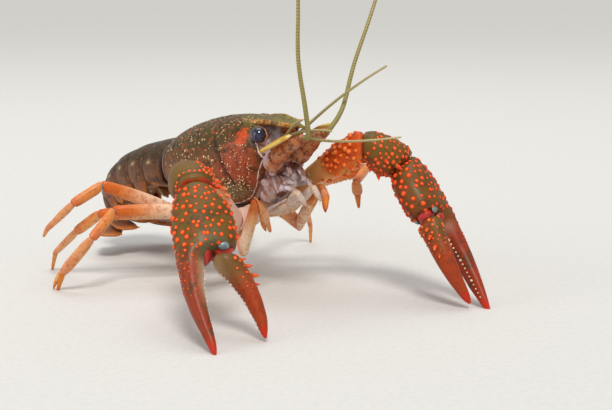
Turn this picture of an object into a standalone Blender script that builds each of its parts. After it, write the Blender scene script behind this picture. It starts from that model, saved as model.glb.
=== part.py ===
"""Red swamp crayfish, life size, standing with its claw tips and hind legs on the floor.

Sizes are in millimetres until MM turns them into metres.
"""

import math
import random

import bmesh
import bpy
from mathutils import Matrix, Vector
from mathutils.bvhtree import BVHTree

MM = 0.001
# Half of the space left between two neighbouring shells.
GAP = 0.15
# How far a toe drawn down to the floor reaches below it before it is cut off flat.
TOE_SUNK = -0.35

# Carriage of the body: nose up, left side up, and where the middle of the carapace stands.
PITCH = math.radians(11.1)
ROLL = math.radians(8.2)
BODY_MIDDLE = Vector((0.0, 0.0, 32.0))
MIDDLE_FORWARD = 24.0
MIDDLE_UP = 9.0

# Carapace stations: distance from the hind margin, half width, top, lower edge.
CARAPACE = (
    (0.0, 9.7, 16.8, 3.2),
    (2.0, 10.3, 17.6, 1.2),
    (6.0, 11.0, 18.7, -0.9),
    (11.0, 11.4, 19.4, -1.8),
    (16.0, 11.5, 19.8, -2.1),
    (20.0, 11.4, 19.8, -2.3),
    (24.0, 11.0, 19.5, -2.5),
    (28.0, 10.1, 19.1, -1.8),
    (31.5, 8.9, 18.5, 0.6),
    (34.5, 7.4, 17.9, 3.8),
    (37.2, 6.2, 17.2, 6.8),
)
CARAPACE_SIDES = 28
SHELL_AXIS = 9.0
# How square the upper and the lower half of a carapace ring are; 1 is an ellipse, less is squarer.
SHELL_ARCH_POWER = 0.90
SHELL_SKIRT_POWER = 0.62
SHELL_SKIRT_TUCK = 0.20
SHELL_WIDEST = 0.44

# Lines on the shell: angle from the top and distance forward.
RIDGE_LINE = ((0.46, 28.5), (0.47, 31.0), (0.47, 33.5), (0.46, 35.6))
RIDGE_RADII = (0.3, 0.5, 0.55, 0.5)
GROOVE_LINE = (
    (0.0, 21.2), (0.35, 21.6), (0.7, 22.8), (1.05, 24.6), (1.4, 26.4), (1.75, 27.6), (2.1, 28.6),
)
GROOVE_RADIUS = 0.5
BACK_LINE = (21.0, 16.0, 11.0, 6.0, 1.0)
BACK_LINE_RADIUS = 0.3
SHELL_SPINE = (0.5, 1.2)
# Raised grains on the cheeks and sides: angle from the top, forward, for both sides.
SHELL_GRAINS = (
    (1.15, 19.0), (1.35, 16.5), (1.55, 19.5), (1.75, 15.0), (1.0, 30.5), (1.3, 29.8), (0.85, 17.0),
)
SHELL_GRAIN = (0.36, 0.36)

# Rostrum stations: forward, half width, middle height, thickness.
ROSTRUM = (
    (31.0, 3.6, 17.4, 1.6),
    (35.0, 4.3, 17.2, 2.0),
    (38.5, 3.9, 16.7, 1.8),
    (42.0, 3.1, 15.8, 1.5),
    (45.0, 2.5, 14.9, 1.3),
    (45.9, 1.5, 14.6, 1.2),
    (48.6, 0.3, 13.8, 0.7),
)
ROSTRUM_RIM = 0.45
ROSTRUM_SPINE = (0.5, 1.7)

EYE_RADIUS = 1.85
EYE = (37.9, 5.3, 14.1)
EYE_STALK_ROOT = (37.0, 2.2, 13.3)
EYE_STALK_RADIUS = 1.25
ORBIT_CLEARANCE = 0.35

# The breastplate: forward and half width, and how deep it hangs below the shell's edge.
UNDERSIDE = ((2.0, 3.8), (5.0, 5.4), (12.0, 5.6), (19.0, 5.0), (24.5, 3.8), (30.6, 3.0))
UNDERSIDE_DEPTH = 3.2
UNDERSIDE_TOPS = (-1.8, -1.3, -2.4, -2.7, -3.0, -1.8)
MOUTH_STATIONS = ((31.0, 0.50), (33.5, 0.60), (36.0, 0.66), (38.0, 0.60))
MOUTH_FLOOR = -3.4
MOUTH_RISE = 0.7

# The five pairs of leg bases, claw legs first.
LEG_BASES = (28.2, 22.0, 17.0, 12.2, 7.4)
LEG_BASE_OUT = 6.3
LEG_BASE_HEIGHTS = (-5.0, -5.0, -4.8, -4.5, -3.9)
LEG_BASE_RADII = (2.7, 2.1, 2.1, 2.1, 2.0)
# How far behind its outer end each base begins, so that it points along its limb.
LEG_BASE_SWEEP = (3.4, 0.8, -0.8, -1.6, -2.2)

# Claw limbs: the bend after the short base length, the elbow and the wrist.
CLAW_ARM = {
    "right": (Vector((-9.8, -8.4, 18.0)), Vector((-28.4, -15.4, 31.2)), Vector((-32.2, -23.5, 29.5))),
    "left": (Vector((10.8, -12.4, 27.2)), Vector((14.8, -27.4, 35.9)), Vector((23.2, -32.4, 31.2))),
}
CLAW_TIP = {"right": Vector((-45.1, -48.3, TOE_SUNK)), "left": Vector((25.9, -58.7, TOE_SUNK))}
CLAW_HINGE = {"right": Vector((-31.8, -36.0, 17.8)), "left": Vector((18.6, -44.2, 20.4))}
THUMB_TIP = {"right": Vector((-31.2, -47.4, 0.9)), "left": Vector((22.3, -56.0, 1.4))}
# Where the palm ends, against the share that PALM gives.
PALM_LENGTH = {"right": 1.0, "left": 0.92}

# Walking legs: bend after the base length, knee, ankle, root of the toe, toe.
LEGS = {
    "leg_2_right": (
        (-8.8, -10.3, 11.3), (-10.9, -17.9, 23.0), (-8.1, -16.5, 21.3), (-4.8, -14.1, 18.1),
        (-2.5, -12.7, 14.9),
    ),
    "leg_3_right": (
        (-10.4, 4.8, 18.2), (-30.2, 14.0, 19.4), (-37.6, 12.4, 13.9), (-41.8, 19.8, 4.6),
        (-42.0, 22.2, TOE_SUNK),
    ),
    "leg_4_right": (
        (-10.2, 10.8, 17.2), (-29.0, 23.2, 17.2), (-31.4, 30.4, 12.2), (-32.4, 40.0, 5.2),
        (-31.6, 43.6, TOE_SUNK),
    ),
    "leg_5_right": (
        (-9.8, 15.6, 16.4), (-27.8, 23.4, 24.4), (-35.2, 25.2, 20.4), (-37.8, 33.8, 13.2),
        (-37.0, 37.6, 10.4),
    ),
    "leg_2_left": (
        (12.0, -6.2, 14.3), (9.0, -17.5, 25.0), (6.6, -22.0, 25.0), (4.6, -25.2, 23.9), (2.9, -27.2, 21.8),
    ),
    "leg_3_left": (
        (13.2, 3.4, 20.8), (27.6, -13.8, 27.6), (20.7, -18.0, 25.6), (21.5, -17.7, 22.2), (22.4, -17.2, 18.6),
    ),
    "leg_4_left": (
        (13.4, 10.2, 19.4), (30.4, 19.6, 22.4), (37.0, 22.6, 15.6), (42.4, 25.6, 5.0), (43.6, 27.0, TOE_SUNK),
    ),
    "leg_5_left": (
        (12.6, 17.0, 18.4), (25.2, 32.8, 21.6), (29.4, 38.6, 16.0), (33.4, 46.6, 5.2), (33.6, 49.8, TOE_SUNK),
    ),
}
PINCER_LEGS = ("leg_2_right", "leg_3_right", "leg_2_left", "leg_3_left")
FLOOR_LEGS = ("leg_3_right", "leg_4_right", "leg_4_left", "leg_5_left")

# Limb thickness: per stretch, rows of share of its length, half across, half deep.
ARM_WIDTHS = (
    ((0.0, 2.5, 2.5), (0.6, 2.7, 2.4), (1.0, 2.5, 2.3)),
    (
        (0.0, 2.5, 2.3), (0.12, 2.7, 2.3), (0.35, 3.4, 2.7), (0.65, 4.1, 3.2), (0.88, 4.0, 3.3),
        (1.0, 3.1, 3.0),
    ),
)
FOREARM_WIDTHS = (((0.0, 3.2, 3.1), (0.22, 4.6, 4.4), (0.5, 5.2, 4.8), (0.8, 4.7, 4.4), (1.0, 3.3, 3.1)),)
# Palm and fixed finger: share of the claw's length, offset to the thumb's side, half width, half thickness.
PALM = (
    (0.0, 0.0, 3.2, 3.0),
    (0.045, 0.2, 4.6, 3.9),
    (0.11, 0.6, 6.0, 4.4),
    (0.20, 0.9, 6.8, 4.6),
    (0.30, 1.0, 6.9, 4.5),
    (0.37, 0.8, 6.5, 4.2),
    (0.405, -1.9, 3.9, 3.8),
    (0.46, -2.8, 2.9, 3.3),
    (0.58, -2.9, 2.4, 2.8),
    (0.72, -2.3, 1.9, 2.2),
    (0.86, -1.1, 1.35, 1.6),
    (0.95, -0.3, 0.9, 1.0),
    (1.0, 0.0, 0.4, 0.5),
)
PALM_END = 0.405
THUMB_START = 0.425
THUMB_OUT = 4.4
# Thumb: share of its length, bow, half width, half thickness.
THUMB = (
    (0.0, 0.0, 2.2, 2.5),
    (0.07, 0.1, 2.8, 3.0),
    (0.25, 0.9, 2.5, 2.6),
    (0.5, 1.4, 2.0, 2.2),
    (0.75, 1.1, 1.5, 1.6),
    (0.92, 0.4, 0.9, 1.0),
    (1.0, 0.0, 0.35, 0.4),
)
LEG_UPPER = (
    ((0.0, 1.8, 1.8), (1.0, 1.7, 1.4)),
    ((0.0, 1.7, 1.4), (0.15, 1.6, 1.25), (0.5, 1.75, 1.2), (0.85, 1.55, 1.15), (1.0, 1.25, 1.1)),
)
LEG_LOWER = (
    ((0.0, 1.3, 1.1), (0.25, 1.35, 1.05), (0.85, 1.15, 0.95), (1.0, 1.0, 0.9)),
    ((0.0, 1.0, 0.9), (0.3, 1.0, 0.85), (0.85, 0.8, 0.7), (1.0, 0.7, 0.65)),
    ((0.0, 0.7, 0.65), (0.5, 0.55, 0.5), (1.0, 0.3, 0.3)),
)
LEG_LOWER_PINCER = (
    ((0.0, 1.3, 1.1), (0.25, 1.35, 1.05), (0.85, 1.15, 0.95), (1.0, 1.0, 0.9)),
    ((0.0, 1.0, 0.9), (0.3, 1.3, 0.95), (0.75, 1.35, 0.95), (1.0, 0.95, 0.8)),
    ((0.0, 0.9, 0.8), (0.5, 0.6, 0.6), (1.0, 0.3, 0.3)),
)
PINCER_FINGER = (0.75, 0.7, 0.55, 0.42, 0.22)
PINCER_SET_BACK = 1.6
PINCER_OPEN = 1.1

# Raised bumps on the claws: radius and height; spines: radius and height; how many round, how far apart.
BUMP = (0.58, 0.5)
BUMP_SIDES = 5
BUMP_BLUNT = 0.4
BUMP_SINK = 0.5
BUMP_SCATTER = 0.14
ARM_BUMP_ROWS = (4.0, 7.3, 10.6, 13.7)
ARM_SPINE_ROWS = (5.5, 9.8, 13.8)
ARM_SPINE = (0.65, 1.6)
FOREARM_BUMP_ROWS = (2.4, 4.8, 7.0)
FOREARM_SPINES = ((0.72, 0.35), (0.45, 0.2))
FOREARM_SPINE = (0.85, 2.1)
PALM_BUMP_ROWS = (3.0, 6.0, 9.0, 12.0)
PALM_BUMPS_ROUND = 7
FINGER_BUMP_ROWS = (17.5, 20.5)
FINGER_TEETH = (7, 0.50, 0.058)
THUMB_SPINES = ((0.1, 0.7), (0.24, 0.75), (0.38, 0.65), (0.52, 0.5))
THUMB_TEETH = (6, 0.24, 0.11)
TOOTH = (0.45, 0.4)

# Feelers: joints of the thick base, thickness, and the fine pair between them.
ANTENNA_BASE = ((38.3, 4.1, 6.6), (42.4, 4.9, 8.4), (46.4, 4.3, 10.0), (52.0, 3.6, 11.6))
ANTENNA_BASE_WIDTHS = (
    ((0.0, 2.1, 2.3), (0.35, 2.4, 2.5), (1.0, 2.0, 1.9)),
    ((0.0, 2.0, 1.9), (0.5, 1.9, 1.8), (1.0, 1.5, 1.4)),
    ((0.0, 1.5, 1.4), (0.5, 1.45, 1.3), (1.0, 1.0, 1.0)),
)
ANTENNULE_BASE = ((37.6, 1.6, 10.4), (41.0, 1.75, 11.5), (44.6, 1.9, 12.2))
ANTENNULE_WIDTHS = (
    ((0.0, 1.15, 1.3), (0.5, 1.1, 1.2), (1.0, 0.95, 1.0)),
    ((0.0, 0.95, 1.0), (0.5, 0.95, 0.95), (1.0, 0.8, 0.8)),
)
# Each fine whip: sideways start, direction, length, how far it bows to the left and up.
ANTENNULE_WHIPS = {
    "right": ((0.25, (0.9, -0.35, 0.3), 13.0, (0.0, 0.6)), (-0.25, (0.9, 0.3, -0.05), 12.0, (0.0, 0.8))),
    "left": ((0.25, (23.7, 10.0, 11.2), 28.1, (0.0, 0.9)), (-0.25, (21.9, 11.1, -5.6), 25.2, (-4.5, -0.4))),
}
ANTENNULE_WHIP_ROOT = 0.42
ANTENNULE_WHIP_TIP = 0.25
ANTENNULE_WHIP_STEPS = 6
# Places that the long whips pass through.
WHIP = {
    "right": (
        (-4.8, -28.6, 47.0), (-4.5, -25.8, 58.0), (-2.2, -23.0, 72.0), (1.5, -17.0, 88.0), (6.0, -7.0, 102.0),
        (10.0, 4.0, 111.0),
    ),
    "left": (
        (6.6, -28.8, 46.0), (11.4, -27.4, 56.0), (19.0, -25.6, 69.0), (28.0, -21.0, 82.0),
        (38.0, -13.0, 93.0), (46.0, -3.0, 100.0),
    ),
}
WHIP_STEPS = 3
WHIP_STRAIGHT = 1.6
WHIP_ROOT = 0.72
WHIP_TIP = 0.26

# The pale blade beside each feeler: its ends, width and outline across and along.
SCALE_ENDS = ((41.4, 7.5, 10.9), (51.6, 6.3, 13.2))
SCALE_WIDTH = 3.4
SCALE_THICK = 0.75
SCALE_LEAN = -0.35
SCALE_SPINE = (0.4, 1.9)
SCALE_RIB = (0.5, 0.48, 0.4)
SCALE_OUTLINE = (
    (0.36, 0.0), (0.5, 0.12), (0.5, 0.5), (0.46, 0.86), (0.30, 0.95), (0.02, 0.92), (-0.3, 0.76), (-0.5, 0.5),
    (-0.46, 0.24), (-0.2, 0.0),
)

JAW_FOOT = ((32.0, 2.6, -5.0), (39.6, 2.2, -3.4), (43.6, 2.6, -1.0), (45.6, 2.4, -4.6))
JAW_FOOT_WIDTHS = (
    ((0.0, 1.2, 0.9), (0.3, 1.7, 1.2), (0.8, 1.6, 1.2), (1.0, 1.2, 1.0)),
    ((0.0, 1.2, 1.0), (0.5, 1.2, 1.0), (1.0, 0.8, 0.8)),
    ((0.0, 0.8, 0.8), (0.5, 0.75, 0.7), (1.0, 0.3, 0.3)),
)
JAW_TEETH = 5
JAW_TOOTH = (0.28, 0.7)

# Abdomen joints in the upright middle plane, front to back, and its size at each.
TAIL_SIDEWAYS = -0.4
TAIL_JOINTS = (
    (24.1, 26.6), (32.0, 25.6), (39.6, 23.9), (46.2, 21.7), (51.4, 18.6), (54.8, 14.9), (54.9, 11.2),
)
TAIL_HALF_WIDTH = (9.6, 9.7, 9.5, 9.1, 8.5, 7.7, 6.4)
TAIL_ARCH = (7.6, 7.6, 7.3, 6.9, 6.3, 5.4, 4.0)
TAIL_BELLY = (4.6, 4.4, 4.2, 4.0, 3.7, 3.2, 2.2)
SECTION_SIDES = 20
SECTION_SWELL = 0.035
SECTION_ARCH_POWER = 0.8
FLAP_DROP = (3.0, 6.0, 6.2, 5.8, 5.0, 3.0)
FLAP_SHARE = 0.86
FLAP_THICK = 1.0
FLAP_INSET = 0.9
FLAP_OUTLINE = (
    (-0.42, 0.0), (0.42, 0.0), (0.46, 0.35), (0.40, 0.7), (0.16, 0.96), (-0.02, 1.0), (-0.26, 0.8),
    (-0.42, 0.45),
)
SWIM_LEAN = (1.6, 1.3, 0.9, 0.7, 0.5)
SWIM_LENGTH = (7.0, 6.4, 4.8, 4.2, 3.4)
SWIM_WIDTHS = (((0.0, 0.9, 0.7), (1.0, 0.8, 0.6)), ((0.0, 0.8, 0.6), (0.4, 1.0, 0.45), (1.0, 0.4, 0.3)))

# The tail fan, folded forward: name, side, turned out, sideways, raised, length, half width.
FAN_HEADING = math.radians(184.0)
FAN_SET_BACK = 1.6
FAN_PLATES = (
    ("telson", 0.0, 0.0, 0.0, 0.0, 11.0, 4.3),
    ("tail_inner_right", -1.0, 14.0, 4.6, 1.4, 11.0, 3.2),
    ("tail_inner_left", 1.0, 14.0, 4.6, 1.4, 11.0, 3.2),
    ("tail_outer_right", -1.0, 34.0, 6.6, 2.8, 11.5, 3.5),
    ("tail_outer_left", 1.0, 34.0, 6.6, 2.8, 11.5, 3.5),
)
PLATE_THICK = 1.0
PLATE_OUTLINE = (
    (-0.55, 0.0), (0.55, 0.0), (0.92, 0.2), (1.0, 0.5), (0.94, 0.78), (0.66, 0.96), (0.22, 1.0), (-0.22, 1.0),
    (-0.66, 0.96), (-0.94, 0.78), (-1.0, 0.5), (-0.92, 0.2),
)
PLATE_RIB = (0.42, 0.38, 0.3)
TELSON_SPINE = (0.45, 1.3)
# A blade's layers through its thickness, with the share of its outline that each has.
PLATE_LAYERS = ((-0.5, 0.90), (-0.22, 1.0), (0.22, 1.0), (0.5, 0.90))


def body(forward, left, up):
    """A point of the carapace's own frame."""
    return Vector((left, -forward, up))


BODY_FRAME = (
    Matrix.Translation(BODY_MIDDLE)
    @ Matrix.Rotation(-PITCH, 4, "X")
    @ Matrix.Rotation(-ROLL, 4, "Y")
    @ Matrix.Translation(-body(MIDDLE_FORWARD, 0.0, MIDDLE_UP))
)
SIDEWAYS = Vector((1.0, 0.0, 0.0))
UPWARD = Vector((0.0, 0.0, 1.0))


def stand(forward, left, up):
    """The same point once the body stands on its legs."""
    return BODY_FRAME @ body(forward, left, up)


def clear_scene():
    for thing in list(bpy.data.objects):
        bpy.data.objects.remove(thing, do_unlink=True)


def new_collection(name):
    group = bpy.data.collections.new(name)
    bpy.context.scene.collection.children.link(group)
    return group


def new_empty(name, parent=None):
    empty = bpy.data.objects.new(name, None)
    PARTS.objects.link(empty)
    empty.parent = parent
    return empty


def finish_material(name, colour, roughness):
    finish = bpy.data.materials.new(name)
    finish.use_nodes = True
    shader = finish.node_tree.nodes["Principled BSDF"]
    shader.inputs["Base Color"].default_value = (*colour, 1.0)
    shader.inputs["Roughness"].default_value = roughness
    shader.inputs["Metallic"].default_value = 0.0
    return finish


def across_axis(along, hint):
    """The unit direction nearest to hint that is square to along."""
    return (hint - along * hint.dot(along)).normalized()


def power(value, exponent):
    """A sine or cosine raised to a power with its sign kept."""
    return math.copysign(abs(value) ** exponent, value)


def oval(centre, across, up, half_across, half_up, sides, squareness=2.0):
    """A closed ring of points, rounder or squarer by its squareness."""
    ring = []
    for step in range(sides):
        turn = math.tau * step / sides
        x = power(math.cos(turn), 2.0 / squareness) * half_across
        y = power(math.sin(turn), 2.0 / squareness) * half_up
        ring.append(centre + across * x + up * y)
    return ring


def mitred(ring, centre, along, normal):
    """The ring slid along its own axis onto the plane of a joint."""
    return [p - along * ((p - centre).dot(normal) / along.dot(normal)) for p in ring]


def skin(rings):
    """A closed mesh through rings of one count, for a loft between unlike sections."""
    mesh = bmesh.new()
    loops = [[mesh.verts.new(point * MM) for point in ring] for ring in rings]
    count = len(loops[0])
    for near, far in zip(loops, loops[1:]):
        for i in range(count):
            j = (i + 1) % count
            mesh.faces.new((near[i], near[j], far[j], far[i]))
    mesh.faces.new(list(reversed(loops[0])))
    mesh.faces.new(loops[-1])
    return facing_out(mesh)


def facing_out(mesh):
    bmesh.ops.recalc_face_normals(mesh, faces=mesh.faces)
    if mesh.calc_volume(signed=True) < 0:
        bmesh.ops.reverse_faces(mesh, faces=mesh.faces)
    return mesh


def limb(points, widths, hint, sides=10, start_normal=None, end_normal=None, squareness=2.0):
    """A jointed length with slanted ends: per stretch rows of share, half across and half deep."""
    rings = []
    last = len(points) - 2
    for index, row in enumerate(widths):
        start, end = points[index], points[index + 1]
        length = (end - start).length
        along = (end - start) / length
        across = across_axis(along, hint)
        up = along.cross(across)
        before = (start - points[index - 1]).normalized() if index else along
        after = (points[index + 2] - end).normalized() if index < last else along
        first = start_normal if index == 0 and start_normal else (before + along).normalized()
        final = end_normal if index == last and end_normal else (after + along).normalized()
        for share, half_across, half_up in row:
            if share == 0.0 and index:
                continue
            ring = []
            for point in oval(start, across, up, half_across, half_up, sides, squareness):
                offset = point - start
                if share < 0.5:
                    slant = -offset.dot(first) / along.dot(first)
                    place = slant + share * (length - 2.0 * slant)
                else:
                    slant = -offset.dot(final) / along.dot(final)
                    place = length * share + slant * (2.0 * share - 1.0)
                ring.append(point + along * place)
            rings.append(ring)
    return skin(rings)


def tube(points, radii, sides=8):
    """A round tapering rod: a bevelled line through the points, made a closed mesh."""
    line = bpy.data.curves.new("rod", "CURVE")
    line.dimensions = "3D"
    line.bevel_depth = MM
    line.bevel_resolution = (sides - 4) // 2
    line.use_fill_caps = True
    spline = line.splines.new("POLY")
    spline.points.add(len(points) - 1)
    for knot, place, radius in zip(spline.points, points, radii):
        knot.co = (*(place * MM), 1.0)
        knot.radius = radius
    rod = bpy.data.objects.new("rod", line)
    PARTS.objects.link(rod)
    bpy.context.view_layer.update()
    graph = bpy.context.evaluated_depsgraph_get()
    data = bpy.data.meshes.new_from_object(rod.evaluated_get(graph))
    mesh = bmesh.new()
    mesh.from_mesh(data)
    bmesh.ops.remove_doubles(mesh, verts=mesh.verts, dist=0.001 * MM)
    bpy.data.objects.remove(rod, do_unlink=True)
    bpy.data.curves.remove(line)
    bpy.data.meshes.remove(data)
    return facing_out(mesh)


def bow(start, end, sag, steps):
    """Points of an arc from start to end, bulging by the vector sag."""
    points = []
    for step in range(steps + 1):
        share = step / steps
        points.append(start.lerp(end, share) + sag * (4.0 * share * (1.0 - share)))
    return points


def pointed(place, direction, radius, height, sides=6, blunt=0.12, sink=0.8):
    """A spine or tubercle: a cone whose root is sunk in the surface."""
    mesh = bmesh.new()
    bmesh.ops.create_cone(
        mesh,
        cap_ends=True,
        cap_tris=False,
        segments=sides,
        radius1=radius * MM,
        radius2=radius * blunt * MM,
        depth=(height + sink) * MM,
    )
    lift = Matrix.Translation((0.0, 0.0, (height - sink) * 0.5 * MM))
    turn = direction.to_track_quat("Z", "Y").to_matrix().to_4x4()
    bmesh.ops.transform(mesh, matrix=Matrix.Translation(place * MM) @ turn @ lift, verts=mesh.verts)
    return mesh


def ball(centre, radius, around=12, rows=8):
    mesh = bmesh.new()
    bmesh.ops.create_uvsphere(mesh, u_segments=around, v_segments=rows, radius=radius * MM)
    bmesh.ops.translate(mesh, verts=mesh.verts, vec=centre * MM)
    return mesh


def blade(outline, thickness, frame):
    """A flat blade from an outline in its own plane, with its edges drawn in."""
    middle = sum((Vector(p) for p in outline), Vector((0.0, 0.0))) / len(outline)
    rings = []
    for level, spread in PLATE_LAYERS:
        ring = []
        for x, y in outline:
            flat = middle + (Vector((x, y)) - middle) * spread
            ring.append(frame @ Vector((flat.x, flat.y, level * thickness)))
        rings.append(ring)
    return skin(rings)


def frame_at(place, across, along):
    """A frame with its own X across, Y along and Z through the thickness."""
    frame = Matrix((across, along, across.cross(along))).transposed().to_4x4()
    frame.translation = place
    return frame


def add_node(name, mesh, finish, parent):
    data = bpy.data.meshes.new(name)
    mesh.to_mesh(data)
    mesh.free()
    data.materials.append(finish)
    data.polygons.foreach_set("use_smooth", [True] * len(data.polygons))
    node = bpy.data.objects.new(name, data)
    PARTS.objects.link(node)
    node.parent = parent
    return node


def boolean(node, pieces, operation):
    """Joins or cuts all pieces at once, then keeps only the largest closed surface."""
    group = new_collection("helpers_" + node.name)
    for index, piece in enumerate(pieces):
        data = bpy.data.meshes.new(f"helper_{node.name}_{index}")
        piece.to_mesh(data)
        piece.free()
        group.objects.link(bpy.data.objects.new(data.name, data))
    modifier = node.modifiers.new("join", "BOOLEAN")
    modifier.operation = operation
    modifier.operand_type = "COLLECTION"
    modifier.collection = group
    modifier.solver = "MANIFOLD"
    kept_parent = node.parent
    node.parent = None
    bpy.context.view_layer.update()
    graph = bpy.context.evaluated_depsgraph_get()
    result = bpy.data.meshes.new_from_object(node.evaluated_get(graph))
    node.modifiers.clear()
    node.data = result
    node.parent = kept_parent
    for helper in list(group.objects):
        bpy.data.objects.remove(helper, do_unlink=True)
    bpy.data.collections.remove(group)
    keep_largest(node)


def keep_largest(node):
    mesh = bmesh.new()
    mesh.from_mesh(node.data)
    left = set(mesh.verts)
    islands = []
    while left:
        seed = left.pop()
        island = {seed}
        edge = [seed]
        while edge:
            for link in edge.pop().link_edges:
                for vert in link.verts:
                    if vert not in island:
                        island.add(vert)
                        edge.append(vert)
        left -= island
        islands.append(island)
    if len(islands) > 1:
        islands.sort(key=len)
        loose = [vert for island in islands[:-1] for vert in island]
        bmesh.ops.delete(mesh, geom=loose, context="VERTS")
    mesh.to_mesh(node.data)
    mesh.free()
    node.data.polygons.foreach_set("use_smooth", [True] * len(node.data.polygons))


def surface(tree, origin, direction, reach=30.0):
    """Where a ray coming in along direction towards origin meets the surface, and the outward normal."""
    start = (origin + direction.normalized() * reach) * MM
    hit, normal, _, _ = tree.ray_cast(start, -direction.normalized(), reach * MM)
    if hit is None:
        return None, None
    return hit / MM, normal


def spines_on(tree, spots, size, lean=None, sides=BUMP_SIDES, blunt=BUMP_BLUNT, sink=BUMP_SINK):
    """One raised point at each (origin, direction) where a ray meets the surface."""
    pieces = []
    for origin, direction in spots:
        place, normal = surface(tree, origin, direction)
        if place is not None:
            heading = normal + lean if lean else normal
            pieces.append(pointed(place, heading, size[0], size[1], sides, blunt, sink))
    return pieces


def bumps(tree, start, along, across, rows, per_row, size, rng, arc=(0.0, math.tau), blunt=BUMP_BLUNT):
    """Rows of raised bumps round an axis, every other row turned by half a step, each leaning forward."""
    pieces = []
    up = along.cross(across)
    for index, distance in enumerate(rows):
        for step in range(per_row):
            share = (step + 0.5 * (index % 2) + rng.uniform(-BUMP_SCATTER, BUMP_SCATTER)) / per_row
            turn = arc[0] + (arc[1] - arc[0]) * share
            outward = across * math.cos(turn) + up * math.sin(turn)
            grown = rng.uniform(0.85, 1.2)
            spot = (start + along * (distance + rng.uniform(-0.3, 0.3)), outward)
            scaled = (size[0] * grown, size[1] * grown)
            pieces += spines_on(tree, [spot], scaled, along * 0.25, BUMP_SIDES, blunt)
    return pieces


def cut_below(mesh, height):
    """Cuts a limb tip off flat at one level."""
    geometry = list(mesh.verts) + list(mesh.edges) + list(mesh.faces)
    cut = bmesh.ops.bisect_plane(
        mesh,
        geom=geometry,
        plane_co=(0.0, 0.0, height * MM),
        plane_no=(0.0, 0.0, -1.0),
        clear_outer=True,
    )
    if any(isinstance(item, bmesh.types.BMEdge) for item in cut["geom_cut"]):
        bmesh.ops.holes_fill(mesh, edges=[e for e in mesh.edges if e.is_boundary], sides=0)
        bmesh.ops.recalc_face_normals(mesh, faces=mesh.faces)


def shell_height(forward):
    """Half width, top and lower edge of the carapace at one station, straight between the named ones."""
    for near, far in zip(CARAPACE, CARAPACE[1:]):
        if forward <= far[0]:
            share = (forward - near[0]) / (far[0] - near[0])
            return tuple(near[i] + (far[i] - near[i]) * share for i in (1, 2, 3))
    return CARAPACE[-1][1:]


def shell_ring(forward, half, top, low):
    middle = low + SHELL_WIDEST * (top - low)
    ring = []
    for step in range(CARAPACE_SIDES):
        turn = math.tau * step / CARAPACE_SIDES
        c = math.cos(turn)
        s = math.sin(turn)
        if s >= 0:
            x = power(c, SHELL_ARCH_POWER) * half
            z = middle + (top - middle) * power(s, SHELL_ARCH_POWER)
        else:
            x = power(c, SHELL_SKIRT_POWER) * half * (1.0 - SHELL_SKIRT_TUCK * abs(s))
            z = middle + (middle - low) * power(s, SHELL_SKIRT_POWER)
        ring.append(body(forward, x, z))
    return ring


def shell_spot(angle, forward):
    """A ray from the shell's axis outward, angle measured from the top."""
    return body(forward, 0.0, SHELL_AXIS), body(0.0, math.sin(angle), math.cos(angle))


def groove_path(tree, stations, lift):
    """Points along the shell where rays from its axis meet it, given (angle from the top, forward)."""
    points = []
    for angle, forward in stations:
        place, normal = surface(tree, *shell_spot(angle, forward))
        if place is not None:
            points.append(place + normal * lift)
    return points


def make_carapace(finish, parent):
    mesh = skin([shell_ring(*station) for station in CARAPACE])
    tree = BVHTree.FromBMesh(mesh)
    node = add_node("carapace", mesh, finish, parent)
    beak = []
    for forward, half, height, thick in ROSTRUM:
        beak.append(oval(body(forward, 0, height), SIDEWAYS, UPWARD, half, thick * 0.5, 12, 3.0))
    joins = [skin(beak)]
    for side in (-1.0, 1.0):
        rim = []
        for forward, half, height, thick in ROSTRUM[1:5]:
            rim.append(body(forward, side * (half - 0.25), height + thick * 0.42))
        joins.append(tube(rim, [ROSTRUM_RIM] * len(rim), 6))
        corner = ROSTRUM[4]
        root = body(corner[0] - 0.2, side * (corner[1] - 0.35), corner[2] + 0.2)
        joins.append(pointed(root, body(1.0, side * 0.18, 0.05), *ROSTRUM_SPINE))
        ridge = groove_path(tree, [(side * a, f) for a, f in RIDGE_LINE], -0.15)
        joins.append(tube(ridge, RIDGE_RADII, 6))
        joins.append(pointed(ridge[-1], body(1.0, side * 0.1, 0.1), *SHELL_SPINE))
        place, normal = surface(tree, body(24.5, 0, SHELL_AXIS), body(0, side, 0.12))
        joins.append(pointed(place, normal + body(0.5, 0, 0), *SHELL_SPINE))
        grains = [shell_spot(side * angle, forward) for angle, forward in SHELL_GRAINS]
        joins += spines_on(tree, grains, SHELL_GRAIN)
    boolean(node, joins, "UNION")
    cuts = []
    for side in (-1.0, 1.0):
        groove = groove_path(tree, [(side * a, f) for a, f in GROOVE_LINE], 0.12)
        cuts.append(tube(groove, [GROOVE_RADIUS] * len(groove), 6))
        eye = body(EYE[0], side * EYE[1], EYE[2])
        root = body(EYE_STALK_ROOT[0] - 0.8, side * EYE_STALK_ROOT[1], EYE_STALK_ROOT[2])
        cuts.append(ball(eye, EYE_RADIUS + ORBIT_CLEARANCE))
        cuts.append(tube([root, eye], [EYE_STALK_RADIUS + ORBIT_CLEARANCE] * 2, 10))
    middle = groove_path(tree, [(0.0, f) for f in BACK_LINE], 0.12)
    cuts.append(tube(middle, [BACK_LINE_RADIUS] * len(middle), 6))
    for cut in cuts:
        boolean(node, [cut], "DIFFERENCE")


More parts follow.
